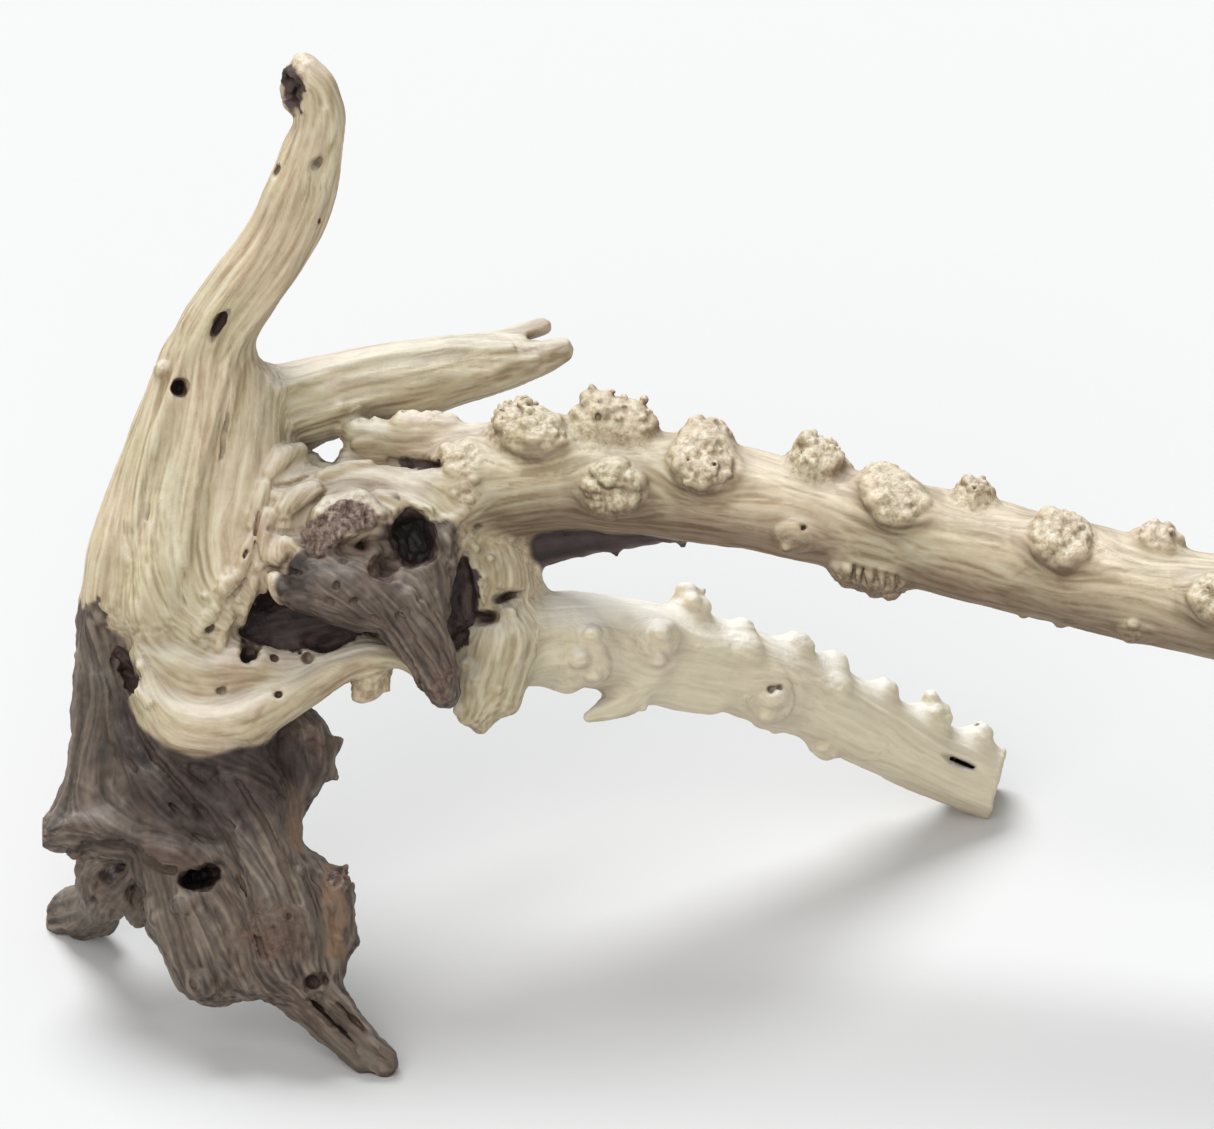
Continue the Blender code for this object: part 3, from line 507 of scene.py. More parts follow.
# Cracks and grooves on the front: rows of (across, up, radius).
GROOVES = {
    "slab_crack": [
        (92.8, 270, 0.4), (91.6, 263, 0.7), (90, 256, 0.8), (89.6, 250, 0.7), (88.4, 245, 0.4),
    ],
    "slab_nick": [(60, 228.4, 0.8), (59.6, 222.4, 0.8)],
    "upright_slit": [(92.4, 306, 0.9), (88.6, 300, 1.3), (85.4, 293, 0.9)],
    "arm_root_slit": [(156, 246, 1.1), (162, 245, 2.2), (168, 244.6, 2.6), (175, 246.4, 1.6)],
    "under_plate": [
        (184, 178.6, 1.2), (190, 183, 2), (196.8, 184, 1.3), (200.4, 188, 1.2), (206, 191.4, 1.9),
        (210, 193.6, 0.9),
    ],
    "crack_strings_a": [(180, 202, 1.2), (183, 190, 1.6), (186, 176, 1.2)],
    "crack_strings_b": [(184.6, 206, 1), (188, 194, 1.4), (188.4, 182, 1)],
    "leg_groove": [(150, 184, 1.2), (158, 174, 1.7), (166, 162, 1.4), (171, 153.4, 0.9)],
    "leg_groove_b": [(148, 184, 0.9), (158, 175, 1.4), (165, 165, 1)],
    "leg_groove_c": [(160, 184, 0.9), (168, 172, 1.2), (176, 158, 0.9)],
    "tail_groove_a": [(119, 30, 1.4), (128, 22.6, 1.9), (136, 14.8, 1.8), (142.6, 8, 1.2)],
    "tail_groove_b": [(130, 29, 1.3), (138, 20.8, 1.8), (145, 14, 1.6), (150, 9.6, 1)],
    "lobe_groove_a": [(108, 219, 1), (115, 217.4, 1.5), (121, 218.4, 1.2)],
    "lobe_groove_b": [(107, 203, 1), (113, 202, 1.5), (120, 201, 1.4)],
    "lobe_groove_c": [(111, 236, 1), (117, 236.6, 1.4), (123, 239.6, 1)],
    "crest_groove_a": [(104, 225.4, 0.6), (103.4, 219, 1), (102.8, 213, 0.6)],
    "crest_groove_b": [(99, 199, 0.6), (95.4, 194, 1), (91.4, 189, 0.7)],
    "root_groove_c": [(46, 166, 1.2), (56, 138, 1.6), (74, 116, 1.6), (94, 100, 1.2)],
    "fringe_a": [(341.4, 204, 1), (340.8, 198.6, 1.3)],
    "fringe_b": [(345, 203, 1), (345, 197.6, 1.5)],
    "fringe_c": [(349.6, 202, 1), (350, 196.6, 1.5)],
    "fringe_d": [(354, 201, 1), (354.6, 195.8, 1.5)],
    "fringe_e": [(358, 200, 1), (358.8, 196.4, 1.3)],
    "under_brow": [(34, 94.4, 1.4), (48, 92.6, 2), (60, 86.6, 2.2), (70, 82.6, 2)],
    "end_slit": [(377.4, 128.6, 0.6), (382, 125.8, 1.6), (387, 123.8, 1.4), (391, 123.2, 0.7)],
    "tail_groove_c": [(112, 38, 1), (122, 29, 1.7), (134, 18, 1.7), (144, 9, 1.2)],
    "tail_groove_d": [(124, 36, 1), (134, 27, 1.6), (147, 14, 1.5), (155, 7, 1)],
    "root_groove_a": [(52, 126, 1.4), (74, 104, 1.7), (96, 82, 1.5), (106, 48, 1.2)],
    "root_groove_b": [(96, 118, 1.2), (108, 98, 1.5), (120, 70, 1.2)],
}

# Tinted places: across, up, deep, half sizes in those directions, and the turn in degrees.
TINTS = {
    "grey": [(35, 176, 14, 9, 15, 40, -14)],
    "pale": [(153, 227, -14, 10, 6, 22, -8), (170, 229, -8, 13, 5.5, 16, -24)],
    # Painted shade: near black in recesses, slits, cracks and the broken tip's hollow.
    "painted_dark_shade": [
        (114, 180, 22, 22, 18, 26, 0), (134, 176, 22, 20, 15, 24, 0), (184, 192, 12, 10, 21, 18, -9),
        (117.5, 394, -36, 5.5, 11, 10, 8), (197, 187, 14, 9, 5, 8, 15), (52, 160, 12, 6, 12, 12, 20),
        (48, 84, 40, 10, 8, 14, 0), (167, 244.8, 6, 12, 2.6, 14, -3),
    ],
    # Brown places: a real stain on the root, and painted shade under the lip and under the brow.
    "brown_stain_and_shade": [
        (114, 58, -10, 12, 10, 16, 0), (92, 118, -6, 36, 17, 26, 8), (150, 200, -26, 10, 10, 10, 0),
        (66, 88, -10, 16, 9, 20, -12), (349, 196, -8, 14, 5.5, 14, -10),
    ],
    "blush": [(90, 158, -8, 13, 13, 14, 0), (103, 212, -6, 9, 22, 16, -14),
    (112, 168, -8, 12, 5, 12, 8), (184, 218, -4, 9, 10, 14, 0),
              (309, 150, 80, 10, 11, 18, 0), (264, 171, 46, 9, 13, 16, 0),
              (236, 168, 28, 9, 12, 16, 0)],
    # Painted deep shade under the lip, under the stub and on the stub's left edge.
    "painted_deep_shade": [
        (82, 113, -2, 42, 25, 40, 4), (56, 138, 0, 12, 22, 32, 10), (104, 128, 2, 30, 14, 28, -8),
        (132, 178, 0, 22, 13, 32, 0),
        (120, 198, -14, 10, 14, 18, 10),
    ],
    # Painted shade on the grey root's left side and lower places.
    "painted_side_shade": [(42, 142, 6, 14, 34, 34, 0), (60, 84, 4, 16, 16, 20, 0), (84, 40, 0, 12, 10, 20, 0)],
    "rust": [(112, 58, -14, 16, 14, 18, 0), (177, 158, -18, 5, 9, 10, 0), (118, 134, 6, 14, 7, 14, 0)],
    "tan": [(134, 67, 6, 7, 24, 16, 0), (118, 100, 4, 6, 16, 14, 0)],
    "crumbly": [
        (131, 218, -18, 13, 8, 20, 32), (143, 223, -18, 12, 7.5, 20, -6), (118, 396, -36, 5, 9, 9, 8),
        (136, 78, 6, 6, 5, 12, 0),
    ],
}

SOFT_TINTS = {"painted_deep_shade", "painted_side_shade", "blush", "brown_stain_and_shade"}

# Colours along the grain or the crumbs: rows of (place, colour).
RAMPS = {
    "cream": ((0.22, (0.38, 0.275, 0.165)), (0.48, (0.56, 0.45, 0.30)), (0.78, (0.69, 0.59, 0.42))),
    "olive": ((0.22, (0.35, 0.285, 0.165)), (0.48, (0.52, 0.445, 0.28)), (0.78, (0.64, 0.585, 0.415))),
    "grey": ((0.2, (0.040, 0.028, 0.021)), (0.5, (0.125, 0.093, 0.070)), (0.8, (0.24, 0.19, 0.145))),
    # Near-black painted shade for recesses and the dark underside.
    "painted_dark_shade": ((0.1, (0.02, 0.012, 0.012)), (0.6, (0.065, 0.042, 0.040)), (0.9, (0.13, 0.09, 0.08))),
    "crumbs": ((0.36, (0.05, 0.03, 0.026)), (0.5, (0.16, 0.105, 0.085)), (0.66, (0.36, 0.27, 0.22))),
    "rust": ((0.4, (0.07, 0.035, 0.026)), (0.6, (0.19, 0.115, 0.082))),
    # Painted deep shade for the grey root under the lip and beside the stub.
    "painted_deep_shade": ((0.2, (0.016, 0.010, 0.008)), (0.85, (0.060, 0.038, 0.032))),
}
COLOURS = {
    "blotch": (0.47, 0.335, 0.26, 1), "groove": (0.33, 0.235, 0.15, 1),
    # Of the next line, the pale cream after the blush is painted light for the lower arm.
    "blush": (0.36, 0.225, 0.155, 1), "arm_light_colour": (0.80, 0.73, 0.55, 1),
    "grey_groove": (0.035, 0.025, 0.02, 1), "grey_blotch": (0.10, 0.055, 0.04, 1),
    # Of the next line, the colour for undersides is painted shade.
    "grey_patch": (0.15, 0.13, 0.095, 1), "below": (0.38, 0.325, 0.30, 1),
    # Painted light: the bluish white for tops. Painted shade: the grey-mauve after it, for shaded places on
    # the grey root.
    "top_light_colour": (0.78, 0.79, 0.77, 1), "painted_side_shade": (0.45, 0.42, 0.41, 1),
    # Of the next line, the brown is partly a real stain and partly painted shade.
    "tan": (0.27, 0.165, 0.098, 1), "brown_stain_and_shade": (0.10, 0.058, 0.042, 1),
    # The next two colours are painted shade for wide and narrow creases.
    "wide_crease_shade": (0.14, 0.085, 0.055, 1), "near_crease_shade": (0.09, 0.052, 0.034, 1),
    # The next two colours are painted shade, deeper inside carved holes and hollows.
    "cut": (0.075, 0.045, 0.035, 1), "deep": (0.014, 0.010, 0.010, 1),
}

# Flat faces left by the saw: across, up, deep of the face, and how it is turned in the drawing.
SAWN_ENDS = [(400.5, 116, 165, -14), (498, 184, -30, -13)]


def to_world(points):
    """Points of the drawing, in world metres."""
    across, up, deep = points[..., 0], points[..., 1], points[..., 2]
    back = up * math.sin(LEAN) + deep * math.cos(LEAN)
    height = up * math.cos(LEAN) - deep * math.sin(LEAN) - WORN_OFF
    return np.stack((across - MIDDLE_ACROSS, back - MIDDLE_BACK, height), axis=-1) * MM


def smooth_row(row, steps=STEPS_BETWEEN_POINTS):
    """The row with points added between its own, on a curve that passes through them."""
    rows = np.array(row, dtype=float)
    ends = np.vstack((2 * rows[0] - rows[1], rows, 2 * rows[-1] - rows[-2]))
    found = []
    for before, a, b, after in zip(ends, ends[1:], ends[2:], ends[3:]):
        for t in np.arange(steps) / steps:
            square = (2 * before - 5 * a + 4 * b - after) * t**2
            cube = (3 * a - before - 3 * b + after) * t**3
            found.append((2 * a + (b - before) * t + square + cube) / 2)
    return np.array([*found, rows[-1]])


class Grid:
    """A box of the drawing, filled with values on even steps."""

    def __init__(self, cell, value, channels=()):
        self.cell = cell
        self.shape = tuple(np.ceil((FIELD_HIGH - FIELD_LOW) / cell).astype(int))
        self.values = np.full((*self.shape, *channels), value, np.float32)

    def window(self, low, high):
        """(slices, x, y, z) of the part of the grid between two corners."""
        first = np.clip(np.floor((low - FIELD_LOW) / self.cell).astype(int), 0, self.shape)
        last = np.clip(np.ceil((high - FIELD_LOW) / self.cell).astype(int) + 1, 0, self.shape)
        x, y, z = (
            (low + self.cell * np.arange(a, b)).astype(np.float32) for low, a, b in zip(FIELD_LOW, first, last)
        )
        where = tuple(slice(a, b) for a, b in zip(first, last))
        return where, x[:, None, None], y[None, :, None], z[None, None, :]

    def copy(self):
        other = Grid(self.cell, 0)
        other.values = self.values.copy()
        return other

    def at(self, points):
        """The values at the points, blended from the eight cells around each."""
        place = (points - FIELD_LOW.astype(np.float32)) / self.cell
        first = np.clip(np.floor(place).astype(np.int32), 0, np.array(self.shape, np.int32) - 2)
        part = np.clip(place - first, 0, 1).astype(np.float32)
        row, layer = self.shape[2], self.shape[1] * self.shape[2]
        corner = first[:, 0] * layer + first[:, 1] * row + first[:, 2]
        values = self.values.reshape(self.shape[0] * layer, -1)
        total = np.zeros((len(points), values.shape[1]), np.float32)
        for i, j, k in np.ndindex(2, 2, 2):
            share = (part[:, 0] if i else 1 - part[:, 0]) * (part[:, 1] if j else 1 - part[:, 1])
            share = share * (part[:, 2] if k else 1 - part[:, 2])
            total += share[:, None] * values[corner + i * layer + j * row + k]
        return total if self.values.ndim > 3 else total[:, 0]


def segment_distance(a, b, x, y, z):
    """Distance from the skin of a tapered piece of strand between the points a and b."""
    along = (b - a)[:3]
    length = float(along @ along)
    px, py, pz = x - a[0], y - a[1], z - a[2]
    t = np.clip((px * along[0] + py * along[1] + pz * along[2]) / length, 0, 1)
    px, py, pz = px - t * along[0], py - t * along[1], pz - t * along[2]
    return np.sqrt(px * px + py * py + pz * pz) - (a[3] + t * (b[3] - a[3]))


def blend(first, second, width):
    """The smaller of two distances, with a fillet where they are nearly equal."""
    mix = np.clip(width - np.abs(first - second), 0, None)
    return np.minimum(first, second) - mix * mix / (4 * width)


def combine(grid, where, distance, width, cut):
    """Blends a body into the wood, or carves it out."""
    if cut:
        grid.values[where] = -blend(-grid.values[where], distance, width)
    else:
        grid.values[where] = blend(grid.values[where], distance, width)


def add_strand(grid, row, width=BLEND_WIDTH, cut=False):
    points = smooth_row(row).astype(np.float32)
    reach = points[:, 3].max() + FAR
    where, x, y, z = grid.window(points[:, :3].min(0) - reach, points[:, :3].max(0) + reach)
    start = [s.start for s in where]
    own = np.full(grid.values[where].shape, FAR, np.float32)
    for a, b in zip(points, points[1:]):
        reach = max(a[3], b[3]) + FAR
        inner, sx, sy, sz = grid.window(np.minimum(a, b)[:3] - reach, np.maximum(a, b)[:3] + reach)
        local = tuple(slice(s.start - o, s.stop - o) for s, o in zip(inner, start))
        own[local] = np.minimum(own[local], segment_distance(a, b, sx, sy, sz))
    combine(grid, where, own, width, cut)


def ellipsoid_distance(centre, axes, half_sizes, x, y, z):
    """About the distance from the skin of an ellipsoid whose axes are the rows of a matrix."""
    px, py, pz = x - centre[0], y - centre[1], z - centre[2]
    near, slope = 0, 0
    for axis, half in zip(axes, half_sizes):
        part = (px * axis[0] + py * axis[1] + pz * axis[2]) / half
        near = near + part * part
        slope = slope + part * part / half**2
    near = np.sqrt(near)
    return near * (near - 1) / np.maximum(np.sqrt(slope), 1e-4)


def turned_axes(turn):
    """Axes of the drawing turned about the line of sight."""
    c, s = math.cos(math.radians(turn)), math.sin(math.radians(turn))
    return np.array(((c, s, 0), (-s, c, 0), (0, 0, 1)))


def axes_round(out):
    """Three axes, the last along out."""
    helper = np.array((0, 0, 1.0)) if abs(out[2]) < 0.9 else np.array((1.0, 0, 0))
    side = np.cross(helper, out)
    side /= np.linalg.norm(side)
    return np.array((side, np.cross(out, side), out))


def spot_on(strand, across, up):
    """Where a burl seen at (across, up) sits on its strand: the spot and the way out of the wood."""
    points = smooth_row(STRANDS[strand])
    axis = points[np.argmin(np.hypot(points[:, 0] - across, points[:, 1] - up))]
    aside = np.array((across, up)) - axis[:2]
    most = axis[3] * 0.96
    if np.linalg.norm(aside) > most:
        aside *= most / np.linalg.norm(aside)
    toward_viewer = math.sqrt(axis[3] ** 2 - aside @ aside)
    out = np.array((*aside, -toward_viewer))
    return axis[:3] + out, out / np.linalg.norm(out)


def far_spots():
    """Spots for the burls on the far side of the arms, with their sizes."""
    draw = random.Random(FAR_BURL_SEED)
    for strand, first, last, count in FAR_BURL_ROWS:
        points = smooth_row(STRANDS[strand])
        for i in range(count):
            share = first + (last - first) * (i + draw.uniform(-0.3, 0.3)) / (count - 1)
            point = points[int(min(max(share, 0), 1) * (len(points) - 1))]
            turn = math.radians(draw.uniform(-60, 60))
            out = np.array((0, math.sin(turn), math.cos(turn)))
            yield point[:3] + out * point[3], out, draw.uniform(6, 10.5), draw.uniform(0.5, 0.8)


def all_burls():
    """Each burl's spot, way out, radius, how far it stands out and how warty it is."""
    near = []
    for strand, across, up, radius, stands in BURLS:
        usual = LOWER_ARM_WARTS if strand == "lower_arm" else 1.0
        near.append((*spot_on(strand, across, up), radius, stands, WARTS.get((across, up), usual)))
    return near + [(*burl, FAR_BURL_WARTS) for burl in far_spots()]


def add_ellipsoid(grid, centre, axes, half_sizes, width, cut=False, rough=0.0):
    reach = max(half_sizes) + width + 2
    where, x, y, z = grid.window(centre - reach, centre + reach)
    distance = ellipsoid_distance(centre, axes, half_sizes, x, y, z).astype(np.float32)
    if rough:
        places = np.stack(np.broadcast_arrays(x, y, z), axis=-1).reshape(-1, 3)
        waves = lumps(places, "rot") + 0.6 * lumps(places, "fine_rot") - 0.8
        distance = distance + rough * waves.reshape(distance.shape)
    combine(grid, where, distance, width, cut)


def add_burl(grid, spot, out, radius, stands_out, warty, seed):
    """A swelling that the wood runs up onto, with soft lumps, and small warts toward its top."""
    axes = axes_round(out)
    height = radius * stands_out
    smooth = warty < 0.2
    base, top = radius * (0.66 if smooth else 1.1), radius * (0.6 if smooth else 0.84)
    add_ellipsoid(grid, spot, axes, (base, base, height * 0.45), 9.0 if smooth else 6.0)
    add_ellipsoid(grid, spot, axes, (top, top, height * 0.9), 6.0 if smooth else 4.0)
    draw = random.Random(seed)
    soft_lumps = round(5 + radius * (0.3 + 0.5 * warty))
    warts = round(radius * 5.0 * warty)
    for i in range(soft_lumps + warts):
        is_lump = i < soft_lumps
        count, place = (soft_lumps, i) if is_lump else (warts, i - soft_lumps)
        around = place * GOLDEN_ANGLE + draw.uniform(-0.5, 0.5)
        slope = math.radians((18 if is_lump else 8) + 74 * math.sqrt((place + 0.5) / count))
        aside = math.sin(slope) * radius * (0.7 if smooth else 1)
        local = np.array((aside * math.cos(around), aside * math.sin(around), math.cos(slope) * height))
        way = local @ axes / np.linalg.norm(local)
        size = radius * draw.uniform(0.22, 0.44) if is_lump else radius * draw.uniform(0.06, 0.16) + 0.4
        sunk = draw.uniform(0.68, 0.94) if is_lump else draw.uniform(0.92, 1.04)
        half = (size, size, size * draw.uniform(0.8, 1.25))
        add_ellipsoid(grid, spot + sunk * local @ axes, axes_round(way), half, 1.8 if is_lump else 0.8)
        if not is_lump and draw.random() < WARTS_WITH_A_HOLE:
            hole = spot + 1.02 * (local @ axes) + draw.uniform(-1.6, 1.6) * axes[0]
            add_ellipsoid(grid, hole, axes, (0.9, 0.9, 1.8), 0.6, cut=True)


def front_depth(grid, across, up):
    """How deep the front skin of the wood lies at a place of the drawing."""
    i, j = np.round((np.array((across, up)) - FIELD_LOW[:2]) / grid.cell).astype(int)
    inside = grid.values[i, j] < 0
    if not inside.any():
        raise ValueError(f"no wood at {across}, {up}")
    return FIELD_LOW[2] + grid.cell * int(np.argmax(inside))


def laid_on(grid, row, sunk):
    """A row of (across, up, radius), laid on the front skin of the wood."""
    return [
        (across, up, front_depth(grid, across, up) + sunk * radius, radius) for across, up, radius in row
    ]


def add_details(grid):
    """Spikes, and ridges, folds and knobs on the front."""
    for row in SPIKES.values():
        add_strand(grid, row, 2.0)
    ridges = [laid_on(grid, row, 0.3) for row in RIDGES.values()]
    knobs = [laid_on(grid, [knob], 0.15)[0] for rows in KNOBS.values() for knob in rows]
    folds = [laid_on(grid, row, 0.0) for row in FOLDS.values()]
    for row in ridges:
        add_strand(grid, row, 3.0)
    for row in folds:
        add_strand(grid, row, 1.4)
    for across, up, deep, radius in knobs:
        centre = np.array((across, up, deep))
        add_ellipsoid(grid, centre, turned_axes(0), (radius, radius * 0.85, radius),
        0.45 * radius, rough=0.6)


def carve_hollows(grid):
    """The hollows, then the holes and grooves, which start at the skin of the wood as it was."""
    before = grid.copy()
    for rows in HOLLOWS.values():
        for across, up, deep, *half_sizes, turn in rows:
            centre = np.array((across, up, deep))
            rough = min(2.6, 0.7 * min(half_sizes))
            add_ellipsoid(grid, centre, turned_axes(turn), half_sizes, 2.0, cut=True, rough=rough)
    for rows in HOLES.values():
        for across, up, half_across, half_up, depth, turn in rows:
            centre = np.array((across, up, front_depth(before, across, up)))
            half_sizes = (half_across, half_up, depth)
            add_ellipsoid(grid, centre, turned_axes(turn), half_sizes, 0.8, cut=True, rough=1.3)
    for row in GROOVES.values():
        add_strand(grid, laid_on(before, row, 0.0), 0.5, cut=True)


def cut_flat(grid):
    """The worn flats on the ground and the sawn ends."""
    _, _, y, z = grid.window(FIELD_LOW, FIELD_HIGH)
    below = WORN_OFF - y * math.cos(LEAN) + z * math.sin(LEAN)
    np.maximum(grid.values, below, out=grid.values)
    for across, up, deep, turn in SAWN_ENDS:
        c, s = math.cos(math.radians(turn)), math.sin(math.radians(turn))
        middle = np.array((across, up, deep))
        where, x, y, z = grid.window(middle - (12, 45, 40), middle + (30, 45, 40))
        beyond = (x - across) * c + (y - up) * s
        grid.values[where] = np.maximum(grid.values[where], beyond + 0 * z)


def lattice_noise(points, cell, seed, side=48):
    """Smooth noise from 0 to 1 whose lumps are about one cell wide."""
    table = np.random.default_rng(seed).random(side**3, dtype=np.float32)
    turn = np.array(((0.80, 0.60, 0.0), (-0.48, 0.64, 0.60), (0.36, -0.48, 0.80)), np.float32)
    place = points.astype(np.float32) @ turn / np.float32(cell)
    first = np.floor(place).astype(np.int32)
    part = place - first
    part = part * part * (3 - 2 * part)
    low, high = first % side, (first + 1) % side
    total = np.zeros(len(points), np.float32)
    for i, j, k in np.ndindex(2, 2, 2):
        share = (part[:, 0] if i else 1 - part[:, 0]) * (part[:, 1] if j else 1 - part[:, 1])
        share = share * (part[:, 2] if k else 1 - part[:, 2])
        row = (high if i else low)[:, 0] * side + (high if j else low)[:, 1]
        total += share * table[row * side + (high if k else low)[:, 2]]
    return total


def lumps(points, name):
    return lattice_noise(points, *LUMPS[name])


class Flow:
    """Which way the grain runs, what kind of wood it is, and where painted shade and painted light go, all
    over the drawing.

    A direction has no front and back, so it is held as the products xx, yy, zz, xy, xz and yz of
    its parts, which blend without seams where two strands cross.
    """

    def __init__(self, burls):
        self.lie = Grid(FLOW_CELL, 0, (6,))
        self.kinds = Grid(FLOW_CELL, 0, (4,))
        self.nearest = Grid(FLOW_CELL, 99)
        self.strand = Grid(FLOW_CELL, 0)
        total = Grid(FLOW_CELL, 1e-6)
        for index, name in enumerate(STRANDS):
            self.add(index, smooth_row(STRANDS[name]).astype(np.float32), total, name)
        self.kinds.values /= total.values[..., None]
        for row in GRAIN_LINES.values():
            self.steer(smooth_row(row).astype(np.float32))
        self.lie.values /= np.maximum(self.lie.values[..., :3].sum(-1, keepdims=True), 1e-9)
        for spot, out, radius, *_ in burls:
            self.part_round(spot, out, radius * PARTED_BY_BURLS)

    def near_row(self, points):
        """(where, distance, weight, products) in the cells around a row of points."""
        reach = points[:, 3].max() + 24
        where, x, y, z = self.lie.window(points[:, :3].min(0) - reach, points[:, :3].max(0) + reach)
        best = np.full(self.nearest.values[where].shape, 99, np.float32)
        way = np.zeros((*best.shape, 3), np.float32)
        for a, b in zip(points, points[1:]):
            distance = segment_distance(a, b, x, y, z)
            closer = distance < best
            best = np.where(closer, distance, best)
            way[closer] = (b - a)[:3] / np.linalg.norm((b - a)[:3])
        weight = np.exp(-np.clip(best, -8, 30) / 2.6)
        return where, best, weight, way[..., [0, 1, 2, 0, 0, 1]] * way[..., [0, 1, 2, 1, 2, 2]]

    def steer(self, points):
        where, _, weight, products = self.near_row(points)
        self.lie.values[where] += 1.5 * weight[..., None] * products

    def add(self, index, points, total, name):
        where, best, weight, products = self.near_row(points)
        along_weight = weight * (0.02 if name in HIDDEN_STRANDS else 1)
        self.lie.values[where] += along_weight[..., None] * products
        total.values[where] += weight
        # Besides grey wood, these mark painted shade on the dark underside and the upper arm, and painted
        # light on the lower arm.
        kinds = (GREY_STRANDS, DARK_SHADE_STRANDS, SHADED_STRANDS, ARM_LIGHT_STRANDS)
        own_kinds = np.array([name in strands for strands in kinds], np.float32)
        self.kinds.values[where] += weight[..., None] * own_kinds
        nearer = best < self.nearest.values[where]
        self.nearest.values[where] = np.where(nearer, best, self.nearest.values[where])
        self.strand.values[where] = np.where(nearer, index, self.strand.values[where])

    def part_round(self, spot, out, radius):
        """Bends the grain round a burl, as a stream parts round a post."""
        reach = radius * 3 + 3
        where, x, y, z = self.lie.window(spot - reach, spot + reach)
        offset = np.stack(np.broadcast_arrays(x - spot[0], y - spot[1], z - spot[2]), axis=-1)
        offset = offset - (offset @ out)[..., None] * out
        distance = np.maximum(np.linalg.norm(offset, axis=-1, keepdims=True), 1e-3)
        offset = offset / distance
        share = np.minimum((radius / distance) ** 2, 1)[..., None]
        bend = (1 + share) * np.eye(3) - 2 * share * offset[..., :, None] * offset[..., None, :]
        lie = self.lie.values[where][..., [0, 3, 4, 3, 1, 5, 4, 5, 2]]
        lie = bend @ lie.reshape(*lie.shape[:-1], 3, 3) @ bend
        self.lie.values[where] = lie.reshape(*lie.shape[:-2], 9)[..., [0, 4, 8, 1, 2, 5]]

    def along(self, points, way):
        """The way, turned to lie along the grain at the points."""
        xx, yy, zz, xy, xz, yz = self.lie.at(points).T
        turned = np.stack((
            xx * way[:, 0] + xy * way[:, 1] + xz * way[:, 2],
            xy * way[:, 0] + yy * way[:, 1] + yz * way[:, 2],
            xz * way[:, 0] + yz * way[:, 1] + zz * way[:, 2],
        ), axis=-1)
        return turned / np.maximum(np.linalg.norm(turned, axis=1, keepdims=True), 1e-12)

    def first_way(self, points):
        way = np.tile(np.array((0.7, -0.6, 0.4), np.float32), (len(points), 1))
        for _ in range(4):
            way = self.along(points, way)
        return way

    def strand_at(self, points):
        cell = ((points - FIELD_LOW) / FLOW_CELL).round().astype(int)
        x, y, z = np.clip(cell, 0, np.array(self.strand.shape) - 1).T
        return self.strand.values[x, y, z].astype(int)


def grain_noises(flow, points):
    """Noises drawn out along the grain, each with mean 0 and spread 1."""
    totals = {name: lattice_noise(points, cell, seed) for name, (cell, _, _, seed) in GRAINS.items()}
    longest = max(reach for _, reach, _, _ in GRAINS.values())
    first_way = flow.first_way(points)
    for sign in (1, -1):
        place, way, gone = points, sign * first_way, 0.0
        while gone < longest:
            step = NEAR_STEP if gone < NEAR_REACH else FAR_STEP
            place = place + way * step
            way = flow.along(place, way)
            gone += step
            for name, (cell, reach, between, seed) in GRAINS.items():
                if gone <= reach and gone % between == 0:
                    totals[name] += lattice_noise(place, cell, seed)
    return {name: (total - total.mean()) / total.std() for name, total in totals.items()}


def smooth_step(low, high, value):
    t = np.clip((value - low) / (high - low), 0, 1)
    return t * t * (3 - 2 * t)


def vertex_normals(points, quads):
    across = points[quads[:, 2]] - points[quads[:, 0]]
    other = points[quads[:, 3]] - points[quads[:, 1]]
    face = np.cross(across, other)
    normal = np.zeros_like(points)
    for k in range(3):
        normal[:, k] = sum(np.bincount(quads[:, c], face[:, k], len(points)) for c in range(4))
    return normal / np.maximum(np.linalg.norm(normal, axis=1, keepdims=True), 1e-9)


def skin(grid):
    """(points, quads) of the surface where the field is zero, with the quads facing outward."""
    level_set = openvdb.FloatGrid(FAR)
    level_set.copyFromArray(grid.values)
    points, triangles, quads = level_set.convertToPolygons(isovalue=0.0, adaptivity=0.0)
    points = (points * grid.cell + FIELD_LOW).astype(np.float32)
    quads = quads.astype(np.int64)
    normal = vertex_normals(points, quads)
    outward = grid.at(points + normal) - grid.at(points - normal)
    return points, quads if outward.mean() > 0 else quads[:, ::-1]


def wood_field(burls):
    """(the wood before it was carved, the wood) as fields of distance."""
    grid = Grid(VOXEL, FAR)
    for row in (*STRANDS.values(), *WEBS.values()):
        add_strand(grid, row)
    for seed, burl in enumerate(burls):
        add_burl(grid, *burl, seed)
    add_details(grid)
    whole = grid.copy()
    carve_hollows(grid)
    cut_flat(whole)
    cut_flat(grid)
    return whole, grid


def burl_share(points, burls):
    """1 on a warty burl, less on a smooth one, falling to 0 just outside it."""
    share = np.zeros(len(points), np.float32)
    for spot, out, radius, stands_out, warty in burls:
        size = radius * max(1, stands_out)
        near = np.nonzero((np.abs(points - spot) < 1.5 * size).all(1))[0]
        distance = np.linalg.norm(points[near] - spot, axis=1)
        own = smooth_step(1.3, 0.95, distance / size) * min(1, 0.1 + 2 * warty)
        share[near] = np.maximum(share[near], own)
    return share


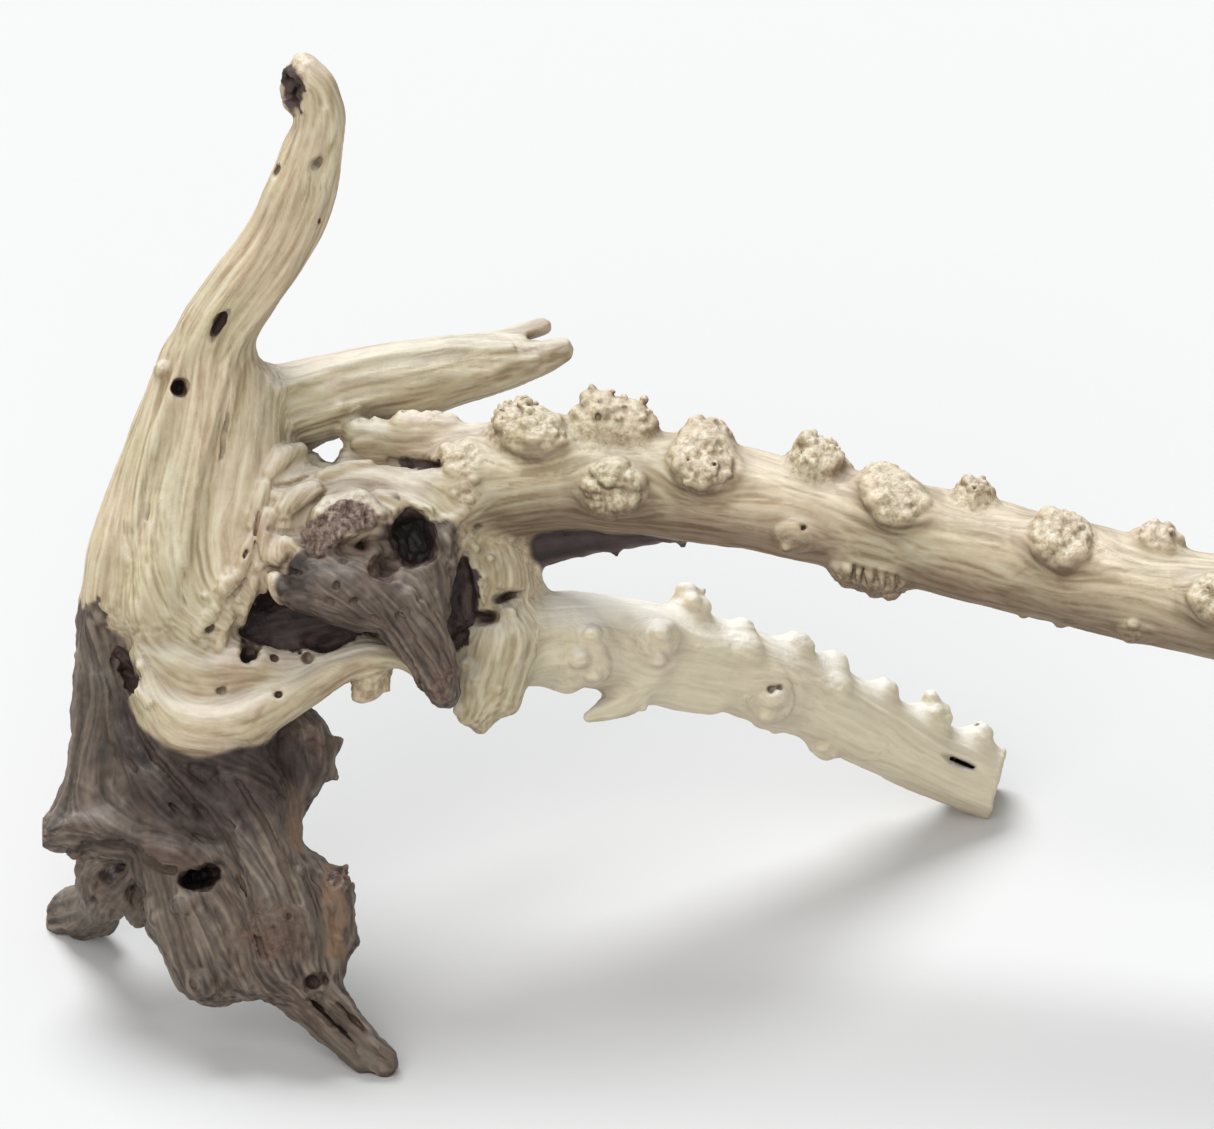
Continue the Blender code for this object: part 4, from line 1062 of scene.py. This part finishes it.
def tint_share(points, rows, soft):
    """1 in the middle of each place of a tint, falling to 0 at its soft or ragged edge."""
    outer, inner, rough = (1.25, 0.45, 0.25) if soft else (1.1, 0.75, 0.5)
    share = np.zeros(len(points), np.float32)
    for *place, turn in rows:
        centre, half_sizes = place[:3], place[3:]
        offset = points - centre
        near = np.nonzero(np.abs(offset).max(1) < 1.3 * max(half_sizes))[0]
        local = offset[near] @ turned_axes(turn).T / half_sizes
        ragged = rough * (lumps(points[near], "edge") + 0.6 * lumps(points[near], "fine_edge") - 0.8)
        own = smooth_step(outer, inner, np.linalg.norm(local, axis=1) + ragged)
        share[near] = np.maximum(share[near], own)
    return share


def relief(points, noises, masks, patch):
    """How far each point of the skin moves outward, in millimetres."""
    crumb = lumps(points, "crumb") - 0.5
    streaks = (RELIEF["streaks"] + RELIEF["streaks_in_patches"] * patch) * noises["streaks"]
    flutes = (RELIEF["flutes"] - RELIEF["less_flutes_on_lower_arm"] * masks["painted_arm_light"]) * noises["flutes"]
    grey = RELIEF["grey_crumb"] * crumb + RELIEF["grey"] * (lumps(points, "grey") - 0.5)
    pits = RELIEF["pits"] * (lumps(points, "pits") - 0.4) + RELIEF["pit_crumb"] * crumb
    return (
        (1 - masks["burl"]) * (RELIEF["fine"] * noises["fine"] + streaks + flutes)
        + masks["burl"] * RELIEF["burl_crumb"] * crumb
        + masks["grey"] * grey
        + masks["crumbly"] * pits
        + masks["painted_dark_shade"] * RELIEF["splits"] * (lumps(points, "splits") - 0.5)
        + RELIEF["sway"] * (lumps(points, "sway") - 0.5)
    )


def surface_details(points, normals, flow, whole, wood, burls):
    """Masks for the material, one number for each vertex, and how far to move it outward."""
    grey_kind, dark_shade_kind, shaded, painted_arm_light = flow.kinds.at(points).T
    noises = grain_noises(flow, points)
    clipped = {name: np.clip(noise, -MOST_NOISE, MOST_NOISE) for name, noise in noises.items()}
    rise = normals[:, 1] * math.cos(LEAN) - normals[:, 2] * math.sin(LEAN)
    patch = lumps(points, "patch")
    near = np.clip(1 - wood.at(points + 2.0 * normals) / 2.0, 0, 2)
    wide = np.clip(1 - wood.at(points + 7.0 * normals) / 7.0, 0, 2)
    tints = {name: tint_share(points, rows, name in SOFT_TINTS) for name, rows in TINTS.items()}
    grey = smooth_step(0.35, 0.65, grey_kind + 0.15 * (patch - 0.5) + tints["grey"] - tints["pale"])
    # Painted shade: surfaces that face down are darkened, a little everywhere and much more on the upper arm.
    below = 0.3 * smooth_step(-0.15, 0.85, -rise) + shaded * smooth_step(-0.75, 0.4, -rise)
    # Painted light: surfaces that face up are made whiter, as lit tops look, less on the upper arm and more on
    # the lower arm.
    painted_top_light = smooth_step(0.5, 1.0, rise) * (0.75 - 0.35 * shaded + 0.6 * painted_arm_light)
    masks = {name: tints[name] for name in ("brown_stain_and_shade", "rust", "tan", "crumbly", "blush")}
    masks.update({
        "fine": np.clip(0.5 + 0.2 * clipped["fine"], 0, 1),
        "flute": np.clip(0.5 + 0.15 * noises["flutes"], 0, 1),
        "streak": np.clip(0.5 + 0.2 * clipped["streaks"], 0, 1),
        "burl": burl_share(points, burls),
        "grey": grey,
        # Painted shade: near black in recesses and on the dark underside.
        "painted_dark_shade": smooth_step(0.3, 0.6, dark_shade_kind + tints["painted_dark_shade"]),
        # Painted deep shade under the lip and beside the stub, on grey wood only.
        "painted_deep_shade": tints["painted_deep_shade"] * grey,
        # Painted shade on the grey root's left side and lower places.
        "painted_side_shade": tints["painted_side_shade"] * grey,
        # Painted light on the lower arm and its spurs.
        "painted_arm_light": painted_arm_light,
        "below": np.clip(below, 0, 1),
        "painted_top_light": painted_top_light * (1 - 0.8 * grey),
        # Painted shade: how deep a point lies inside the wood before it was carved.
        "inside": np.clip(-whole.at(points) / 8, 0, 1),
        # Painted shade in narrow and wide creases, by how much wood lies just outside the skin.
        "near_crease_shade": np.clip(0.6 * near - 0.1, 0, 1),
        "wide_crease_shade": np.clip(wide - 0.15, 0, 1),
    })
    return masks, relief(points, clipped, masks, patch)


def mesh_piece(name, points, normals, quads, masks):
    """One object from some of the wood's quads."""
    used, corners = np.unique(quads, return_inverse=True)
    corners = corners.reshape(-1)
    mesh = bpy.data.meshes.new(name)
    mesh.vertices.add(len(used))
    mesh.vertices.foreach_set("co", to_world(points[used]).astype(np.float32).ravel())
    mesh.loops.add(len(corners))
    mesh.loops.foreach_set("vertex_index", corners.astype(np.int32))
    mesh.polygons.add(len(quads))
    mesh.polygons.foreach_set("loop_start", np.arange(0, len(corners), 4, dtype=np.int32))
    mesh.update(calc_edges=True)
    mesh.shade_smooth()
    for mask, values in masks.items():
        attribute = mesh.attributes.new(mask, "FLOAT", "POINT")
        attribute.data.foreach_set("value", values[used].astype(np.float32))
    mesh.normals_split_custom_set_from_vertices(normals[used].astype(np.float32))
    piece = bpy.data.objects.new(name, mesh)
    bpy.context.scene.collection.objects.link(piece)
    return piece


def clip_to_cad(points):
    """Keeps the wood inside the box of its solid."""
    world = to_world(points)
    low, high = (np.array(corner) for corner in cad_box)
    back = np.clip(world, low, high) - world
    across, along, height = back[:, 0] / MM, back[:, 1] / MM, back[:, 2] / MM
    up = along * math.sin(LEAN) + height * math.cos(LEAN)
    deep = along * math.cos(LEAN) - height * math.sin(LEAN)
    return points + np.stack((across, up, deep), axis=-1)


def piece_of_quads(flow, middles):
    """The number of the piece that each quad belongs to."""
    names, pieces = list(STRANDS), list(PIECES)
    piece_of_strand = np.zeros(len(names), int)
    for i, strands in enumerate(PIECES.values()):
        piece_of_strand[[names.index(strand) for strand in strands]] = i
    owner = piece_of_strand[flow.strand_at(middles)]
    past_end = (owner == pieces.index("upper_arm")) & (middles[:, 0] > ARM_PIECE_ENDS)
    owner[past_end] = pieces.index("upper_arm_end")
    return owner


def make_wood(material):
    burls = all_burls()
    whole, wood = wood_field(burls)
    flow = Flow(burls)
    points, quads = skin(wood)
    normals = vertex_normals(points, quads)
    masks, move = surface_details(points, normals, flow, whole, wood, burls)
    points = clip_to_cad(points + normals * move[:, None])
    # The drawing is a mirror image of the world, so each quad turns round.
    quads = quads[:, ::-1]
    normals = vertex_normals(to_world(points), quads)
    owner = piece_of_quads(flow, points[quads].mean(1))
    for i, name in enumerate(PIECES):
        piece = mesh_piece(name + "_wood", points, normals, quads[owner == i], masks)
        piece.data.materials.append(material)
        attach(piece, "root")
        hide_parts("spiderwood")


class Nodes:
    """Short calls for the nodes of one material."""

    def __init__(self, name):
        self.material = bpy.data.materials.new(name)
        self.material.use_nodes = True
        self.tree = self.material.node_tree
        self.shader = self.tree.nodes["Principled BSDF"]

    def put(self, value, socket):
        if isinstance(value, bpy.types.NodeSocket):
            self.tree.links.new(value, socket)
        else:
            socket.default_value = value

    def attribute(self, name):
        node = self.tree.nodes.new("ShaderNodeAttribute")
        node.attribute_name = name
        return node.outputs["Fac"]

    def noise(self, scale, detail=3, roughness=0.6):
        """Noise whose scale counts lumps in a metre."""
        place = self.tree.nodes.new("ShaderNodeTexCoord")
        node = self.tree.nodes.new("ShaderNodeTexNoise")
        self.tree.links.new(place.outputs["Object"], node.inputs["Vector"])
        node.inputs["Scale"].default_value = scale
        node.inputs["Detail"].default_value = detail
        node.inputs["Roughness"].default_value = roughness
        return node.outputs["Fac"]

    def ramp(self, value, name):
        node = self.tree.nodes.new("ShaderNodeValToRGB")
        elements = node.color_ramp.elements
        while len(elements) < len(RAMPS[name]):
            elements.new(0.5)
        for element, (place, colour) in zip(elements, RAMPS[name]):
            element.position = place
            element.color = (*colour, 1)
        self.put(value, node.inputs["Fac"])
        return node.outputs["Color"]

    def mix(self, share, first, second, mode="MIX"):
        node = self.tree.nodes.new("ShaderNodeMix")
        node.data_type = "RGBA"
        node.blend_type = mode
        self.put(share, node.inputs[0])
        self.put(first, node.inputs[6])
        self.put(second, node.inputs[7])
        return node.outputs[2]

    def maths(self, operation, first, second):
        node = self.tree.nodes.new("ShaderNodeMath")
        node.operation = operation
        self.put(first, node.inputs[0])
        self.put(second, node.inputs[1])
        return node.outputs[0]

    def scaled(self, value, low, high, to_low=0.0, to_high=1.0):
        node = self.tree.nodes.new("ShaderNodeMapRange")
        node.inputs["From Min"].default_value = low
        node.inputs["From Max"].default_value = high
        self.put(value, node.inputs["Value"])
        self.put(to_low, node.inputs["To Min"])
        self.put(to_high, node.inputs["To Max"])
        return node.outputs["Result"]

    def part_of(self, mask, share):
        return self.maths("MULTIPLY", self.attribute(mask), share)

    def darker(self, share, colour, other):
        """The colour, multiplied by the other as far as the share says."""
        return self.mix(share, colour, self.mix(1.0, colour, COLOURS[other], "MULTIPLY"))

    def lines(self, flute, streak):
        """Noise over two values that hardly change along the grain."""
        place = self.tree.nodes.new("ShaderNodeCombineXYZ")
        self.put(self.maths("MULTIPLY", flute, LINES_BY_FLUTES), place.inputs["X"])
        self.put(self.maths("MULTIPLY", streak, LINES_BY_STREAKS), place.inputs["Y"])
        node = self.tree.nodes.new("ShaderNodeTexNoise")
        self.tree.links.new(place.outputs["Vector"], node.inputs["Vector"])
        node.inputs["Scale"].default_value = 1.0
        node.inputs["Detail"].default_value = 2.0
        return node.outputs["Fac"]


def pale_wood(nodes, grain, patch, blotch):
    """Cream and olive wood with pinkish blotches, and painted light that makes the lower arm lighter."""
    groove = nodes.scaled(nodes.attribute("streak"), 0.12, 0.42, 0.3, 0)
    blush = nodes.part_of("blush", nodes.scaled(blotch, 0.4, 0.62, 0.05, 0.6))
    cream, olive = nodes.ramp(grain, "cream"), nodes.ramp(grain, "olive")
    pale = nodes.mix(nodes.scaled(patch, 0.42, 0.6), cream, olive)
    pale = nodes.mix(nodes.scaled(blotch, 0.55, 0.75, 0, 0.3), pale, COLOURS["blotch"])
    pale = nodes.mix(groove, pale, COLOURS["groove"])
    pale = nodes.mix(blush, pale, COLOURS["blush"])
    # Painted light: the lower arm made lighter.
    return nodes.mix(nodes.part_of("painted_arm_light", 0.6), pale, COLOURS["arm_light_colour"])


def grey_wood(nodes, grain, patch, blotch):
    groove = nodes.scaled(nodes.attribute("streak"), 0.1, 0.4, 0.55, 0)
    grey = nodes.mix(groove, nodes.ramp(grain, "grey"), COLOURS["grey_groove"])
    grey = nodes.mix(nodes.scaled(blotch, 0.5, 0.72, 0, 0.5), grey, COLOURS["grey_blotch"])
    return nodes.mix(nodes.scaled(patch, 0.5, 0.7, 0, 0.6), grey, COLOURS["grey_patch"])


def stains_and_painted_light(nodes, colour, grain, crumb, blotch):
    """The colour with what lies on it: stains and crumbs, painted top light, and painted shade underneath, in
    creases and recesses and deep in hollows.
    """
    # Painted shade on the undersides.
    colour = nodes.darker(nodes.attribute("below"), colour, "below")
    # Painted top light.
    top_light_colour = nodes.mix(0.7, colour, COLOURS["top_light_colour"], "SCREEN")
    colour = nodes.mix(nodes.part_of("painted_top_light", 0.75), colour, top_light_colour)
    # Painted shade on the grey root's left side and lower places.
    colour = nodes.darker(nodes.part_of("painted_side_shade", 0.6), colour, "painted_side_shade")
    speckle = nodes.scaled(blotch, 0.35, 0.6, 0.25, 0.8)
    stains = (
        ("rust", speckle, nodes.ramp(crumb, "rust")),
        ("tan", speckle, COLOURS["tan"]),
        ("crumbly", 0.92, nodes.ramp(crumb, "crumbs")),
        # Partly a real stain, partly painted shade.
        ("brown_stain_and_shade", speckle, COLOURS["brown_stain_and_shade"]),
        # Painted shade in recesses and on the dark underside.
        ("painted_dark_shade", 1.0, nodes.ramp(nodes.attribute("streak"), "painted_dark_shade")),
    )
    for mask, share, stain in stains:
        colour = nodes.mix(nodes.part_of(mask, share), colour, stain)
    # Painted shade in narrow and wide creases.
    near_crease_shade = nodes.scaled(nodes.attribute("near_crease_shade"), 0, 0.8, 0, 0.8)
    colour = nodes.mix(nodes.part_of("wide_crease_shade", 0.5), colour, COLOURS["wide_crease_shade"], "DARKEN")
    colour = nodes.mix(near_crease_shade, colour, COLOURS["near_crease_shade"], "DARKEN")
    # Painted deep shade on the grey root.
    colour = nodes.mix(nodes.part_of("painted_deep_shade", 0.96), colour, nodes.ramp(grain, "painted_deep_shade"), "DARKEN")
    # Painted shade deeper inside carved holes and hollows: brown, then near black.
    inside = nodes.attribute("inside")
    colour = nodes.mix(nodes.scaled(inside, 0.12, 0.5), colour, COLOURS["cut"])
    return nodes.mix(nodes.scaled(inside, 0.45, 1), colour, COLOURS["deep"])


def wood_material():
    nodes = Nodes("bleached_spiderwood")
    patch, blotch = nodes.noise(22, 4), nodes.noise(70, 4)
    crumb, fine = nodes.noise(420), nodes.noise(900)
    lines = nodes.lines(nodes.attribute("flute"), nodes.attribute("streak"))
    along = nodes.maths("ADD", nodes.scaled(lines, 0.3, 0.7, 0, 0.3), nodes.part_of("fine", 0.7))
    grain = nodes.scaled(nodes.attribute("burl"), 0, 1, along, nodes.scaled(crumb, 0.3, 0.7))
    pale, grey = pale_wood(nodes, grain, patch, blotch), grey_wood(nodes, grain, patch, blotch)
    colour = nodes.mix(nodes.attribute("grey"), pale, grey)
    nodes.put(stains_and_painted_light(nodes, colour, grain, crumb, blotch), nodes.shader.inputs["Base Color"])
    nodes.put(nodes.scaled(grain, 0, 1, 0.68, 0.5), nodes.shader.inputs["Roughness"])
    nodes.shader.inputs["Specular IOR Level"].default_value = 0.4
    bump = nodes.tree.nodes.new("ShaderNodeBump")
    bump.inputs["Strength"].default_value = 0.8
    bump.inputs["Distance"].default_value = 0.0006
    nodes.put(nodes.maths("ADD", grain, nodes.maths("MULTIPLY", fine, 0.4)), bump.inputs["Height"])
    nodes.put(bump.outputs["Normal"], nodes.shader.inputs["Normal"])
    return nodes.material


def floor_material():
    nodes = Nodes("pale_floor")
    nodes.shader.inputs["Base Color"].default_value = (0.64, 0.64, 0.64, 1)
    nodes.shader.inputs["Roughness"].default_value = 0.9
    nodes.shader.inputs["Specular IOR Level"].default_value = 0.1
    return nodes.material


def make_floor():
    mesh = bpy.data.meshes.new("floor")
    half = 8.0
    corners = [(-half, -half, 0), (half, -half, 0), (half, half, 0), (-half, half, 0)]
    mesh.from_pydata(corners, [], [(0, 1, 2, 3)])
    floor = bpy.data.objects.new("floor", mesh)
    bpy.context.scene.collection.objects.link(floor)
    mesh.materials.append(floor_material())


def aim(obj, target):
    obj.rotation_mode = "QUATERNION"
    obj.rotation_quaternion = (Vector(target) - obj.location).to_track_quat("-Z", "Y")


def make_sun(name, place, power, colour, softness):
    light = bpy.data.lights.new(name, "SUN")
    light.energy = power
    light.color = colour
    light.angle = softness
    lamp = bpy.data.objects.new(name, light)
    bpy.context.scene.collection.objects.link(lamp)
    lamp.location = place
    aim(lamp, (0, 0, 0))


def light_scene():
    world = bpy.data.worlds.new("studio")
    world.use_nodes = True
    background = world.node_tree.nodes["Background"]
    background.inputs["Color"].default_value = (0.97, 0.98, 1, 1)
    background.inputs["Strength"].default_value = 0.38
    bpy.context.scene.world = world
    bpy.context.scene.view_settings.view_transform = "Standard"
    make_sun("window_light", (-0.4, 0.9, 1.7), 2.9, (0.97, 0.99, 1.0), 0.6)
    make_sun("room_light", (-0.5, -1.3, 1.3), 1.55, (1.0, 0.98, 0.95), 1.0)


def make_camera():
    camera = bpy.data.cameras.new("camera")
    camera.sensor_width = SENSOR
    camera.lens = SENSOR * CAMERA_DISTANCE / (FRAME_WIDTH * MM)
    camera.clip_end = 100
    holder = bpy.data.objects.new("camera", camera)
    bpy.context.scene.collection.objects.link(holder)
    target = Vector(to_world(np.array(VIEW_CENTRE)))
    toward_viewer = Vector((0, -math.cos(LEAN), math.sin(LEAN)))
    holder.location = target + toward_viewer * CAMERA_DISTANCE
    aim(holder, target)
    bpy.context.scene.camera = holder


make_camera()
light_scene()
make_floor()
make_wood(wood_material())
